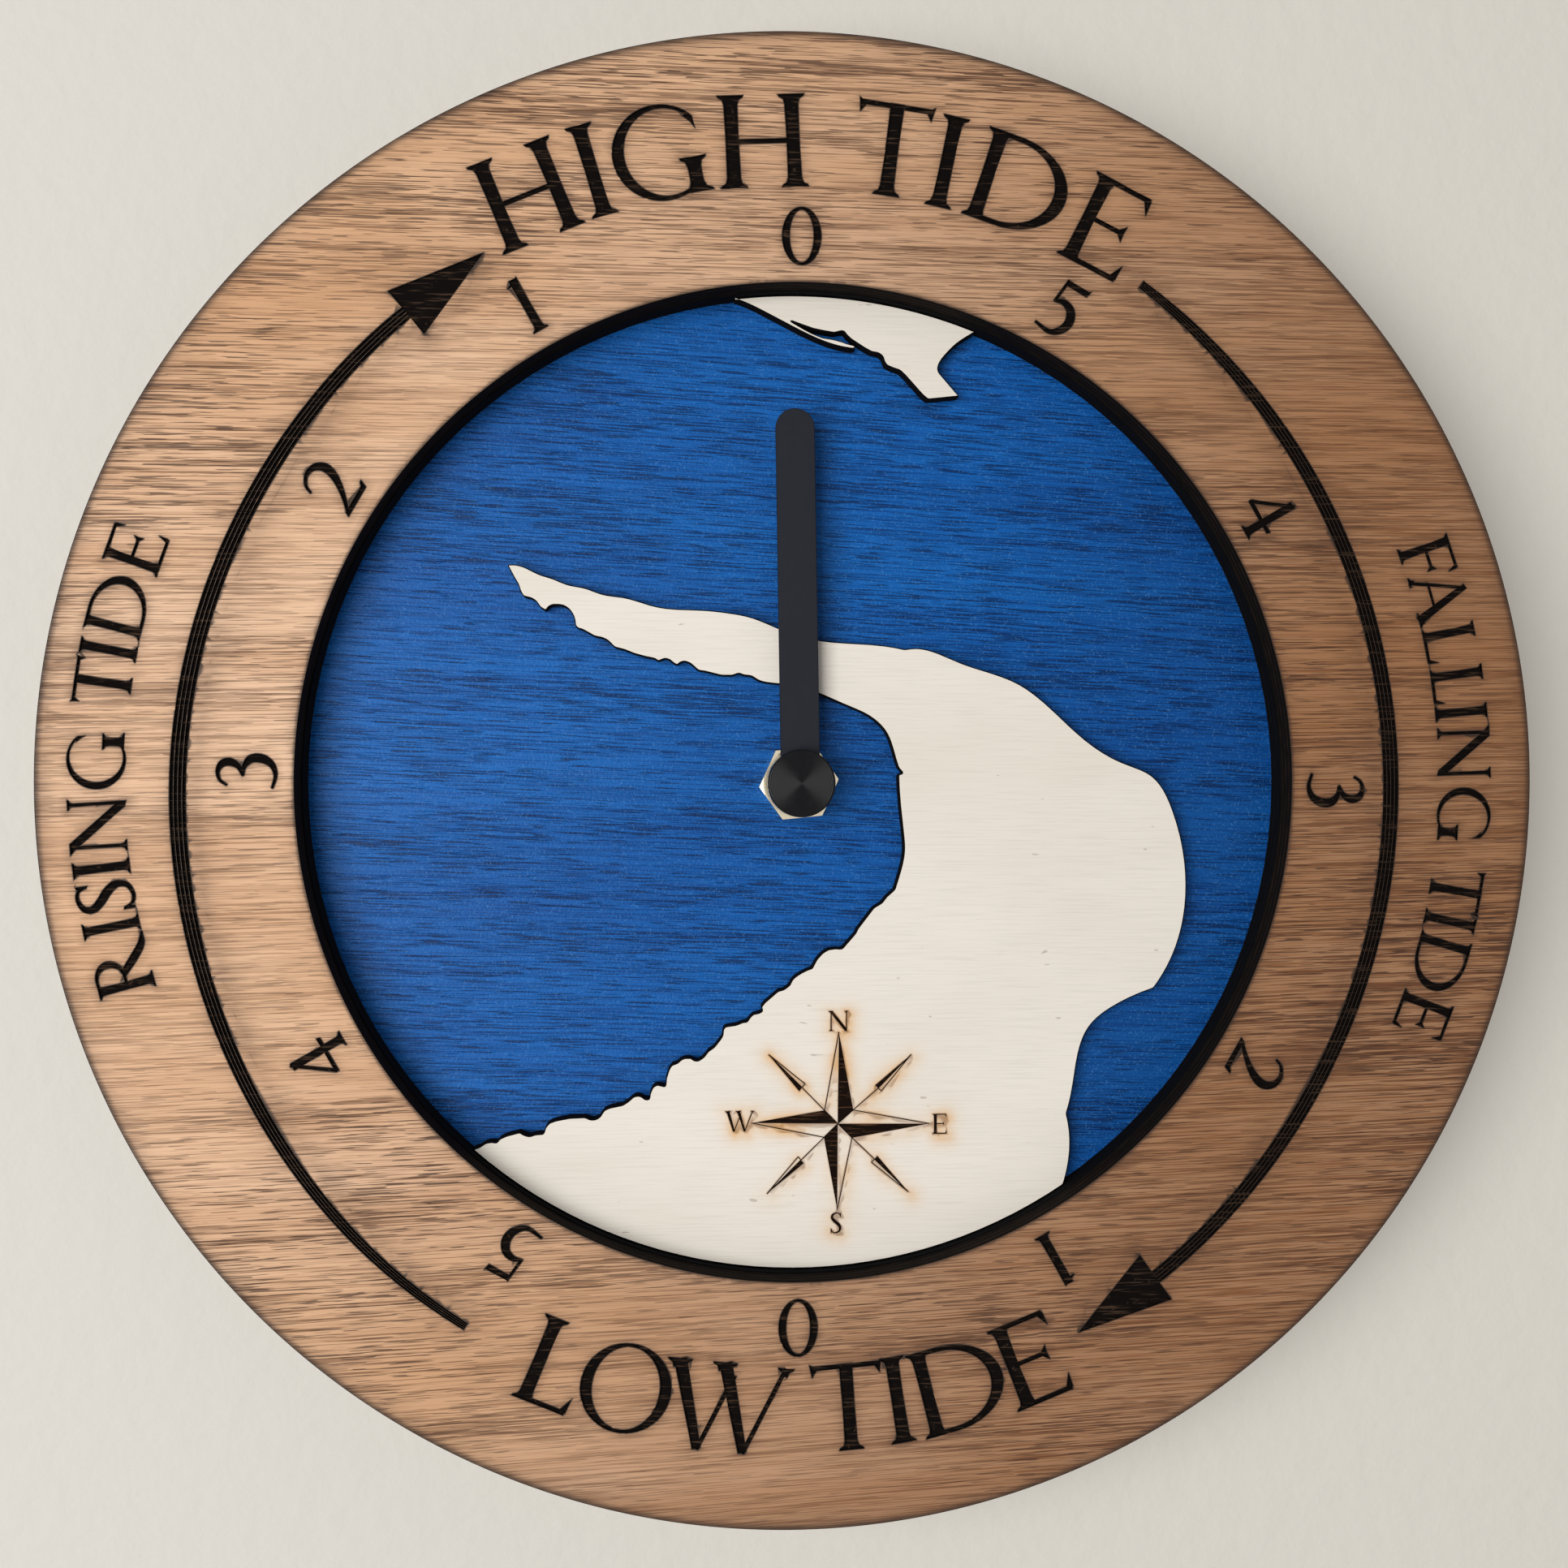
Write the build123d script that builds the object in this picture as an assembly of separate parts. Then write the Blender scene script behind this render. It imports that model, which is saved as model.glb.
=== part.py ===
from build123d import *
import math
import os

# Wall tide clock: a layered plywood dial on a battery quartz movement.
# Sizes are millimetres.  Pieces are drawn as seen from the front: x right, y up and
# z out of the wall, with z = 0 on the wall and the hand's axis at x = y = 0.
# The last lines stand each piece upright, so that the dial faces -Y and +Z is up.

# Plywood dial, 10 inches across
DIAL_R = 127.0
RING_WIDTH = 42.35
SPACER_STEP = 0.3
FACE_T = 4.5
SPACER_T = 4.5
DISC_T = 4.5
LAND_T = 3.0
LAND_GAP = 0.15

# Nut, gasket and threaded bush that clamp the dial to the movement
BUSH_R = 4.0
BUSH_FLANGE_R = 5.5
BUSH_FLANGE_T = 0.8
BUSH_PROUD = 0.8
BUSH_HOLE_GAP = 0.05
DISC_HOLE_GAP = 0.2
NUT_ACROSS_FLATS = 12.0
NUT_T = 2.6
NUT_CHAMFER = 0.7
NUT_TURN = 5.7
GASKET_R = 14.0
GASKET_T = 0.8

# Hand, its collet and the turned cap over the hub
HAND_LENGTH = 64.0
HAND_WIDTH = 6.7
HAND_HUB_R = 5.2
HAND_T = 0.8
HAND_REST_TURN = 0.9
COLLET_R = 3.4
COLLET_FLANGE_R = 4.7
COLLET_FLANGE_T = 0.6
COLLET_SKIRT = 1.4
COLLET_RISE = 0.4
COLLET_FIT = 0.02
CAP_R = 5.75
CAP_T = 3.0
CAP_EDGE = 0.5
CAP_STUB_R = 1.65
CAP_STUB_LENGTH = 1.9

# Movement case, an AA cell in a bay open at the back
CASE_CORNER_R = 3.0
CASE_WALL = 1.3
WORKS_ROOM = 0.3
COIL_ROOM = 0.94
BRIDGE_ROOM = 0.1
PLATE_T = 1.6
PARTITION_T = 1.2
COVER_T = 1.5
CELL_R = 7.1
CELL_LENGTH = 50.5
CELL_NUB_R = 2.75
CELL_NUB_LENGTH = 1.3
CELL_GAP = 0.2
CELL_SINK = 0.3
CELL_EDGE = 0.5
FINGER_NOTCH_R = 9.0
EYE_R = 7.0
EYE_HOLE_R = 3.0
EYE_T = 2.5
EYE_RISE = 6.0
LIP_T = 1.0
LIP_H = 1.2
LIP_GAP = 0.1
LIP_LENGTH = 14.0
CLIP_W = 6.0
CLIP_H = 3.4
CLIP_BARB = 0.7
CLIP_BARB_H = 1.1
CLIP_ROOM = 0.3

# Running clearances
PIVOT_FIT = 0.05
END_SHAKE = 0.2
PIVOT_R = 0.5
BOSS_R = 1.4
BOSS_H = 1.1
PIVOT_DEPTH = 1.4
PIN_SIDES = 12

# Gear teeth, as shares of the module or of the tooth pitch
ADDENDUM = 0.9
DEDENDUM = 1.25
TOOTH_TIP_SHARE = 0.18
TOOTH_ROOT_SHARE = 0.52
PINION_OVERHANG = 0.3
WHEEL_T = 0.8

# Setting works: cannon pinion, minute works and hour wheel give 12 to 1
CANNON_TEETH = 14
WORKS_WHEEL_TEETH = 42
WORKS_PINION_TEETH = 12
HOUR_TEETH = 48
SETTING_TEETH = 14
WORKS_MODULE = 0.30
HOUR_WHEEL_T = 1.0
HOUR_HUB_R = 3.6
HOUR_HUB_T = 0.3
HOUR_TUBE_R = 2.55
HOUR_BORE_R = 1.75
WORKS_GAP = 0.7
WORKS_ANGLE = 180.0
SETTING_ANGLE = 200.0
CANNON_JOURNAL_R = 1.2
CANNON_SEAT_R = 1.0
CANNON_COLLAR_R = 1.6
CANNON_COLLAR_T = 0.35
CANNON_STEM_LENGTH = 7.0
CANNON_HOLE_DEPTH = 2.3
CLUTCH_R = 2.2
CLUTCH_T = 0.2
CLUTCH_GAP = 0.05
SETTING_ARBOR_R = 0.9
KNOB_R = 5.0
KNOB_T = 1.9
KNOB_FLUTES = 24
KNOB_FLUTE_DEPTH = 0.35
KNOB_GAP = 0.4
KNOB_SINK = 0.3
WELL_WALL = 1.0
WELL_FLOOR_T = 1.1

# Going train: rotor, intermediate, second, third and centre wheels
ROTOR_TEETH = 10
INTERMEDIATE_TEETH = 50
INTERMEDIATE_PINION_TEETH = 10
SECOND_TEETH = 60
SECOND_PINION_TEETH = 8
THIRD_TEETH = 60
THIRD_PINION_TEETH = 8
CENTRE_TEETH = 64
ROTOR_MODULE = 0.18
SECOND_MODULE = 0.24
THIRD_MODULE = 0.25
THIRD_ANGLE = 20.0
INTERMEDIATE_ANGLE = 135.0
TRAIN_GAP = 0.9
WHEEL_HUB_R = 0.8
SECOND_PIVOT_R = 0.4
ROTOR_PIVOT_R = 0.4
ROTOR_DROP = 0.2
MAGNET_R = 2.6
MAGNET_T = 1.7

# Bridge that carries the train
BRIDGE_T = 1.0
BRIDGE_GAP = 1.0
BRIDGE_RIM = 2.2
POST_R = 1.6
POST_PIN_R = 0.7
POST_FIT = 0.05
BRIDGE_POSTS = ((-14.5, 9.0), (12.5, 9.0), (5.0, -8.6))

# Stepping motor: stator, coil core, bobbin and winding
STATOR_T = 0.8
STATOR_RING_R = 4.2
STATOR_ARM_W = 3.0
ROTOR_AIR_GAP = 0.5
COIL_SPAN = 24.4
COIL_RISE = 11.8
CORE_W = 3.0
CORE_T = 0.8
CORE_FIT = 0.1
BOBBIN_LENGTH = 17.0
BOBBIN_TUBE_R = 2.2
BOBBIN_FLANGE_R = 4.2
BOBBIN_FLANGE_T = 0.8
WINDING_R = 3.7
PEG_R = 2.0
PEG_PIN_R = 0.9

# Circuit board and its parts
BOARD_W = 16.6
BOARD_H = 12.6
BOARD_T = 0.8
BOARD_EDGE = 0.45
BOARD_DROP = 2.7
BOARD_POST_R = 1.4
BOARD_PIN_R = 0.6
BOARD_INSET = 2.4
CHIP_R = 2.6
CHIP_H = 1.3
CHIP_EDGE = 0.9
CHIP_AT = (7.2, 4.8)
CRYSTAL_R = 1.0
CRYSTAL_LENGTH = 6.0
CRYSTAL_AT = (8.2, 10.0)

# Battery contacts, bent from thin strip
STRIP_T = 0.4
STRIP_W = 6.4
STRIP_GAP = 0.05
STRIP_LOW = 5.6
STRIP_END = 3.0
STRIP_SLOT = 0.3
SPRING_SPAN = 9.0
SPRING_BOW = 1.9
SPRING_FOOT = 0.7
TAB_W = 3.0
TAB_LENGTH = 4.6
TAB_INSET = 1.0

# Depths that follow from the sizes above, and the bores of the rings
face_bore_r = DIAL_R - RING_WIDTH
spacer_bore_r = face_bore_r - SPACER_STEP
case_depth = CELL_SINK + 2 * (CELL_R + CELL_GAP) + PLATE_T
plate_back = case_depth - PLATE_T
disc_back = case_depth + GASKET_T
disc_front = disc_back + DISC_T
spacer_front = disc_front + SPACER_T
face_front = spacer_front + FACE_T
bush_front = disc_front + NUT_T + BUSH_PROUD
collet_back = bush_front + COLLET_RISE
hand_back = collet_back + COLLET_SKIRT + COLLET_FLANGE_T
hand_front = hand_back + HAND_T
cap_front = hand_front + CAP_T

# Depths of the wheels, from the front plate towards the wall
hour_front = plate_back - BUSH_FLANGE_T - END_SHAKE
hour_wheel_front = hour_front - HOUR_HUB_T
hour_wheel_back = hour_wheel_front - HOUR_WHEEL_T
works_front = hour_wheel_back - WORKS_GAP
works_back = works_front - WHEEL_T
bridge_front = works_back - BRIDGE_GAP
bridge_back = bridge_front - BRIDGE_T
clutch_front = bridge_back - END_SHAKE
centre_front = clutch_front - CLUTCH_T - CLUTCH_GAP
centre_back = centre_front - WHEEL_T
collar_back = centre_back - CLUTCH_GAP - CANNON_COLLAR_T
second_pinion_front = collar_back - END_SHAKE
third_front = second_pinion_front - PINION_OVERHANG
third_back = third_front - WHEEL_T
second_front = third_back - 2 * PINION_OVERHANG - TRAIN_GAP
second_back = second_front - WHEEL_T
boss_front = COVER_T + BOSS_H
pivot_back = boss_front - PIVOT_DEPTH + END_SHAKE

# Places of the arbors in the plane of the dial
works_distance = WORKS_MODULE * (CANNON_TEETH + WORKS_WHEEL_TEETH) / 2
hour_module = 2 * works_distance / (HOUR_TEETH + WORKS_PINION_TEETH)
setting_distance = WORKS_MODULE * (SETTING_TEETH + WORKS_WHEEL_TEETH) / 2
third_distance = THIRD_MODULE * (THIRD_TEETH + SECOND_PINION_TEETH) / 2
centre_module = 2 * third_distance / (CENTRE_TEETH + THIRD_PINION_TEETH)
intermediate_distance = SECOND_MODULE * (SECOND_TEETH + INTERMEDIATE_PINION_TEETH) / 2
rotor_distance = ROTOR_MODULE * (INTERMEDIATE_TEETH + ROTOR_TEETH) / 2


def polar(angle, distance, start=(0.0, 0.0)):
    """Point at a distance from start, at an angle counted from x towards y."""
    turn = math.radians(angle)
    return (start[0] + distance * math.cos(turn), start[1] + distance * math.sin(turn))


CENTRE = (0.0, 0.0)
works_at = polar(WORKS_ANGLE, works_distance)
setting_at = polar(SETTING_ANGLE, setting_distance, works_at)
third_at = polar(THIRD_ANGLE, third_distance)
intermediate_at = polar(INTERMEDIATE_ANGLE, intermediate_distance)
rotor_at = polar(INTERMEDIATE_ANGLE, rotor_distance, intermediate_at)

# Stator and coil above the rotor
core_back = centre_back + STATOR_T
core_front = core_back + CORE_T
core_z = (core_back + core_front) / 2
coil_y = rotor_at[1] + COIL_RISE
pegs_at = [(rotor_at[0] + side * COIL_SPAN / 2, coil_y) for side in (-1, 1)]

# Bay, partition and chamber inside the case, as large as the cell and the works ask for
well_r = KNOB_R + KNOB_GAP
bay_half = (CELL_LENGTH + SPRING_BOW) / 2 + STRIP_T + 2 * STRIP_GAP
works_half = WORKS_ROOM + max(well_r + WELL_WALL - setting_at[0], STATOR_ARM_W / 2 - pegs_at[0][0])
inner_x = max(bay_half, works_half)
inner_top = coil_y + BOBBIN_FLANGE_R + COIL_ROOM
chamber_low = min(at[1] for at in BRIDGE_POSTS) - BRIDGE_RIM - BRIDGE_ROOM
bay_high = chamber_low - PARTITION_T
bay_low = bay_high - 2 * (CELL_R + CELL_GAP)
cell_at = (bay_low + CELL_GAP + CELL_R, plate_back - CELL_GAP - CELL_R)
case_x = inner_x + CASE_WALL
case_top = inner_top + CASE_WALL
case_low = bay_low - CASE_WALL
eye_y = case_top + EYE_RISE

# Circuit board in the upper right of the chamber
board_front = plate_back - BOARD_DROP
board_back = board_front - BOARD_T
board_right = inner_x - BOARD_EDGE - STRIP_T
board_top = inner_top - BOARD_EDGE - STRIP_T
board_left = board_right - BOARD_W
board_low = board_top - BOARD_H
board_posts = [
    (board_left + BOARD_INSET, board_low + BOARD_INSET),
    (board_right - BOARD_INSET, board_top - BOARD_INSET),
]


def disc(radius, low, high, at=CENTRE):
    """Round bar along z between two depths."""
    bar = Cylinder(radius, high - low, align=(Align.CENTER, Align.CENTER, Align.MIN))
    return Pos(at[0], at[1], low) * bar


def block(left, right, bottom, top, low, high):
    """Box between two corners."""
    box = Box(right - left, top - bottom, high - low, align=(Align.MIN, Align.MIN, Align.MIN))
    return Pos(left, bottom, low) * box


def ring(outer, inner, low, high, at=CENTRE):
    """Flat ring between two depths."""
    return disc(outer, low, high, at) - disc(inner, low, high, at)


def plate(sketch, low, high):
    """Flat sketch made solid between two depths."""
    return Pos(0, 0, low) * extrude(sketch, high - low)


def pin(radius, low, high, at=CENTRE):
    """Small bar along z with narrow flat sides, for arbors, posts and their holes."""
    return Pos(at[0], at[1], 0) * plate(RegularPolygon(radius, PIN_SIDES), low, high)


def gear(teeth, module, phase, low, high, at=CENTRE):
    """Toothed disc with straight flanks and one tooth centred on the phase angle."""
    pitch = 360 / teeth
    tip = module * (teeth / 2 + ADDENDUM)
    root = module * (teeth / 2 - DEDENDUM)
    corners = (
        (root, -TOOTH_ROOT_SHARE / 2),
        (tip, -TOOTH_TIP_SHARE / 2),
        (tip, TOOTH_TIP_SHARE / 2),
        (root, TOOTH_ROOT_SHARE / 2),
    )
    outline = [
        polar(phase + (tooth + share) * pitch, radius)
        for tooth in range(teeth)
        for radius, share in corners
    ]
    return Pos(at[0], at[1], 0) * plate(Polygon(*outline, align=None), low, high)


def meshed_phase(phase, teeth, at, next_teeth, next_at):
    """Phase that puts the next gear's gap on the tooth of a gear already placed."""
    towards = math.degrees(math.atan2(next_at[1] - at[1], next_at[0] - at[0]))
    passed = (towards - phase) * teeth / 360
    return towards + 180 + (passed + 0.5) * 360 / next_teeth


def bowed(start, end, bow):
    """Arc between two points that swells to the left of its way by the bow."""
    along = (end[0] - start[0], end[1] - start[1])
    length = math.hypot(*along)
    middle_x = (start[0] + end[0]) / 2 - along[1] / length * bow
    middle_y = (start[1] + end[1]) / 2 + along[0] / length * bow
    return ThreePointArc(start, (middle_x, middle_y), end)


# Plywood layers
def make_face_ring():
    return ring(DIAL_R, face_bore_r, spacer_front, face_front)


def make_spacer_ring():
    return ring(DIAL_R, spacer_bore_r, disc_front, spacer_front)


def make_back_disc():
    return ring(DIAL_R, BUSH_R + DISC_HOLE_GAP, disc_back, disc_front)


def make_land(edges):
    """Land cut from thin ply, with its outer edge on the spacer's bore."""
    land_r = spacer_bore_r - LAND_GAP
    outline = scale(make_face(edges), by=land_r)
    inside = disc(land_r, disc_front, disc_front + LAND_T)
    return plate(outline, disc_front, disc_front + LAND_T) & inside


# Coasts, as shares of the land's radius: scalloped stretches from notch to notch
OUTSIDE_SHARE = 1.31
BAY_SHORE = (
    (-0.700, -0.757), (-0.652, -0.740), (-0.640, -0.732), (-0.628, -0.730), (-0.618, -0.732),
    (-0.612, -0.724), (-0.598, -0.718), (-0.571, -0.711), (-0.562, -0.717), (-0.551, -0.720),
    (-0.540, -0.716), (-0.523, -0.715), (-0.520, -0.703), (-0.512, -0.693), (-0.498, -0.688),
    (-0.470, -0.683), (-0.438, -0.682), (-0.428, -0.687), (-0.418, -0.687), (-0.409, -0.682),
    (-0.400, -0.668), (-0.388, -0.663), (-0.362, -0.658), (-0.350, -0.650), (-0.340, -0.641),
    (-0.331, -0.639), (-0.323, -0.641), (-0.316, -0.647), (-0.308, -0.647), (-0.307, -0.636),
    (-0.301, -0.622), (-0.292, -0.617), (-0.283, -0.619), (-0.275, -0.621), (-0.274, -0.605),
    (-0.268, -0.586), (-0.262, -0.577), (-0.250, -0.573), (-0.244, -0.567), (-0.236, -0.563),
    (-0.222, -0.563), (-0.216, -0.568), (-0.208, -0.569), (-0.197, -0.562), (-0.187, -0.549),
    (-0.176, -0.542), (-0.164, -0.527), (-0.158, -0.518), (-0.157, -0.505), (-0.152, -0.499),
    (-0.130, -0.496), (-0.115, -0.490), (-0.108, -0.490), (-0.102, -0.481), (-0.095, -0.474),
    (-0.083, -0.472), (-0.076, -0.468), (-0.079, -0.460), (-0.072, -0.451), (-0.058, -0.439),
    (-0.044, -0.427), (-0.032, -0.424), (-0.020, -0.415), (-0.016, -0.406), (-0.010, -0.399),
    (0.002, -0.391), (0.018, -0.383), (0.026, -0.381), (0.030, -0.373), (0.036, -0.362),
    (0.048, -0.349), (0.060, -0.342), (0.074, -0.340), (0.088, -0.341), (0.094, -0.334),
    (0.116, -0.309), (0.120, -0.300), (0.154, -0.256), (0.170, -0.247), (0.180, -0.234), (0.197, -0.219),
)
ARM_SHORE = (
    (-0.084, 0.210), (-0.092, 0.215), (-0.098, 0.219), (-0.115, 0.221), (-0.124, 0.225), (-0.137, 0.220),
    (-0.160, 0.220), (-0.192, 0.228), (-0.207, 0.230), (-0.216, 0.238), (-0.224, 0.245), (-0.235, 0.249),
    (-0.243, 0.247), (-0.250, 0.241), (-0.258, 0.245), (-0.266, 0.252), (-0.275, 0.2545), (-0.284, 0.251),
    (-0.289, 0.249), (-0.296, 0.254), (-0.316, 0.258), (-0.338, 0.264), (-0.358, 0.272), (-0.378, 0.277),
    (-0.392, 0.291), (-0.402, 0.296), (-0.418, 0.299), (-0.443, 0.313), (-0.452, 0.315), (-0.458, 0.321),
    (-0.459, 0.333), (-0.463, 0.344), (-0.470, 0.354), (-0.480, 0.361), (-0.490, 0.363), (-0.503, 0.363),
    (-0.511, 0.359), (-0.517, 0.351), (-0.529, 0.358), (-0.537, 0.370), (-0.546, 0.376), (-0.563, 0.380),
    (-0.569, 0.391), (-0.573, 0.404), (-0.582, 0.419), (-0.595, 0.444),
)
FAR_SHORE = (
    (0.112, 0.892), (0.1165, 0.896), (0.113, 0.900), (0.099, 0.903), (0.087, 0.9075), (0.068, 0.912),
    (0.049, 0.9145), (0.029, 0.922), (0.010, 0.9315), (-0.019, 0.948), (0.002, 0.9405), (0.029, 0.9315),
    (0.0525, 0.927), (0.072, 0.924), (0.087, 0.928), (0.092, 0.927), (0.097, 0.920), (0.107, 0.911),
    (0.134, 0.894), (0.149, 0.886), (0.163, 0.884), (0.172, 0.877), (0.1745, 0.867), (0.180, 0.859),
    (0.192, 0.854), (0.2075, 0.849), (0.219, 0.838), (0.254, 0.7995), (0.2655, 0.790), (0.3315, 0.7975),
    (0.290, 0.845),
)


def make_land_south():
    """Long arm, eastern bulge and scalloped inner shore."""
    north_end = (0.218, 0.276)
    east_end = (0.740, -0.428)
    notch = (0.557, -0.6865)
    leaves_ring = (0.511, -0.9145)
    under_spike = (0.2045, 0.018)
    spike = (0.2145, 0.0205)
    over_spike = (0.2045, 0.031)
    edges = [
        Spline(ARM_SHORE[-1], (-0.560, 0.440), (-0.527, 0.4245), (-0.505, 0.418), (-0.472, 0.405),
               (-0.440, 0.399), (-0.402, 0.386), (-0.360, 0.380), (-0.295, 0.362), (-0.200, 0.355),
               (-0.140, 0.349), (-0.100, 0.341), (-0.044, 0.319), (0.042, 0.294), (0.110, 0.2885), north_end),
        Spline(north_end, (0.245, 0.2785), (0.3325, 0.2495), (0.451, 0.208), (0.589, 0.095), (0.677, 0.0415),
               (0.734, 0.0165), (0.7815, -0.0595), (0.8065, -0.166), (0.805, -0.273), east_end),
        Spline(east_end, (0.659, -0.463), (0.606, -0.505), (0.5725, -0.6175), notch),
        Spline(notch, (0.565, -0.748), (0.558, -0.8075), leaves_ring),
        Polyline(leaves_ring, (leaves_ring[0], -OUTSIDE_SHARE), (-OUTSIDE_SHARE, -OUTSIDE_SHARE),
                 BAY_SHORE[0]),
        Polyline(*BAY_SHORE),
        Spline(BAY_SHORE[-1], (0.208, -0.183), (0.2165, -0.140), (0.214, -0.100), (0.206, -0.020),
               under_spike),
        Polyline(under_spike, spike, over_spike),
        Spline(over_spike, (0.192, 0.073), (0.178, 0.106), (0.160, 0.126), (0.142, 0.139), (0.100, 0.158),
               (0.042, 0.183), (-0.0425, 0.203), (-0.070, 0.206), ARM_SHORE[0]),
        Polyline(*ARM_SHORE),
    ]
    return make_land(edges)


def make_land_north():
    """Far shore under the top of the ring, with a slim inlet behind its spit."""
    west = (-0.140, 0.992)
    east = (0.370, 0.9345)
    edges = [
        Polyline((-OUTSIDE_SHARE, OUTSIDE_SHARE), (-0.190, 1.015), west),
        Spline(west, (-0.100, 0.978), (-0.075, 0.966), (-0.020, 0.938), (0.030, 0.914), (0.080, 0.897),
               FAR_SHORE[0]),
        Polyline(*FAR_SHORE),
        Spline(FAR_SHORE[-1], (0.287, 0.855), (0.291, 0.867), (0.304, 0.884), (0.324, 0.904), (0.347, 0.920),
               east),
        Polyline(east, (0.420, 0.960), (OUTSIDE_SHARE, OUTSIDE_SHARE), (-OUTSIDE_SHARE, OUTSIDE_SHARE)),
    ]
    return make_land(edges)


# Dial clamp
def make_threaded_bush():
    flange = disc(BUSH_FLANGE_R, plate_back - BUSH_FLANGE_T, plate_back)
    tube = disc(BUSH_R, plate_back, bush_front)
    bore = disc(HOUR_TUBE_R + PIVOT_FIT, plate_back - BUSH_FLANGE_T, bush_front)
    return flange + tube - bore


def make_mounting_nut():
    """Hexagon nut with its corners turned off at both faces."""
    hexagon = RegularPolygon(NUT_ACROSS_FLATS / 2, 6, major_radius=False)
    corner_r = NUT_ACROSS_FLATS / math.sqrt(3)
    blank = chamfer(
        Cylinder(corner_r, NUT_T, align=(Align.CENTER, Align.CENTER, Align.MIN)).edges(),
        NUT_CHAMFER / 2, NUT_CHAMFER,
    )
    nut = Rot(0, 0, NUT_TURN) * extrude(hexagon, NUT_T) & blank
    return Pos(0, 0, disc_front) * nut - disc(BUSH_R + BUSH_HOLE_GAP, disc_front, bush_front)


def make_rubber_gasket():
    return ring(GASKET_R, BUSH_R + BUSH_HOLE_GAP, case_depth, disc_back)


# Hand
def make_hand_collet():
    body = disc(COLLET_R, collet_back, hand_front)
    flange = disc(COLLET_FLANGE_R, hand_back - COLLET_FLANGE_T, hand_back)
    return body + flange - disc(HOUR_TUBE_R + COLLET_FIT, collet_back, hand_front)


def make_tide_hand():
    """Flat bar with a round tip and a round eye over the collet."""
    straight = HAND_LENGTH - HAND_WIDTH / 2
    blade = Pos(0, straight / 2) * Rectangle(HAND_WIDTH, straight)
    blade += Pos(0, straight) * Circle(HAND_WIDTH / 2)
    blade += Circle(HAND_HUB_R)
    blade -= Circle(COLLET_R + COLLET_FIT)
    return Rot(0, 0, HAND_REST_TURN) * plate(blade, hand_back, hand_front)


def make_hub_cap():
    cap = disc(CAP_R, hand_front, cap_front)
    cap = chamfer(cap.edges().group_by(Axis.Z)[-1], CAP_EDGE)
    return cap + disc(CAP_STUB_R, hand_front - CAP_STUB_LENGTH, hand_front)


# Movement case
def case_outline():
    """Rounded outline of the case and of its cover."""
    height = case_top - case_low
    return Pos(0, case_low + height / 2) * RectangleRounded(2 * case_x, height, CASE_CORNER_R)


def pivot_boss(at, pivot_r):
    """Boss on the back cover with a blind hole for a pivot."""
    hole = pin(pivot_r + PIVOT_FIT, boss_front - PIVOT_DEPTH, boss_front, at)
    return pin(BOSS_R, COVER_T, boss_front, at), hole


def make_movement_case():
    """Moulded tray: chamber for the works, battery bay and hanging eye."""
    tray = extrude(case_outline(), case_depth)
    tray -= block(-inner_x, inner_x, chamber_low, inner_top, 0, plate_back)
    tray -= block(-inner_x, inner_x, bay_low, bay_high, 0, plate_back)
    tray -= block(-case_x, case_x, bay_high, case_top, 0, COVER_T)
    notch = Pos(0, bay_low, 0) * Rot(90, 0, 0) * Cylinder(FINGER_NOTCH_R, 4 * CASE_WALL)
    tray -= notch
    for side in (-1, 1):
        slot_x = side * inner_x
        slot_in = slot_x - side * (STRIP_T + STRIP_SLOT)
        left, right = sorted((slot_x, slot_in))
        tray -= block(left, right, bay_high, chamber_low, STRIP_LOW - STRIP_SLOT,
                      STRIP_LOW + STRIP_W + STRIP_SLOT)
        window_low = COVER_T + CLIP_H - CLIP_BARB_H - CLIP_ROOM
        left, right = sorted((slot_x, side * case_x))
        tray -= block(left, right, -CLIP_W / 2 - CLIP_ROOM, CLIP_W / 2 + CLIP_ROOM,
                      window_low, COVER_T + CLIP_H + CLIP_ROOM)
    eye = Pos(0, eye_y) * Circle(EYE_R)
    eye += Pos(0, eye_y - EYE_RISE / 2) * Rectangle(2 * EYE_R, EYE_RISE)
    eye -= Pos(0, eye_y) * Circle(EYE_HOLE_R)
    tray += plate(eye, COVER_T, COVER_T + EYE_T)
    for at in BRIDGE_POSTS:
        tray += pin(POST_R, bridge_front, plate_back, at)
        tray += pin(POST_PIN_R, bridge_back + END_SHAKE, bridge_front, at)
    for at in pegs_at:
        tray += pin(PEG_R, core_front, plate_back, at)
        tray += pin(PEG_PIN_R, core_back - STATOR_T - END_SHAKE, core_front, at)
    for at in board_posts:
        tray += pin(BOARD_POST_R, board_front, plate_back, at)
        tray += pin(BOARD_PIN_R, board_back - END_SHAKE, board_front, at)
    for at in (works_at, setting_at):
        tray -= pin(PIVOT_R + PIVOT_FIT, plate_back, plate_back + PIVOT_DEPTH - BOSS_H / 2, at)
    return tray - disc(BUSH_R + BUSH_HOLE_GAP, plate_back, case_depth)


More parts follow.
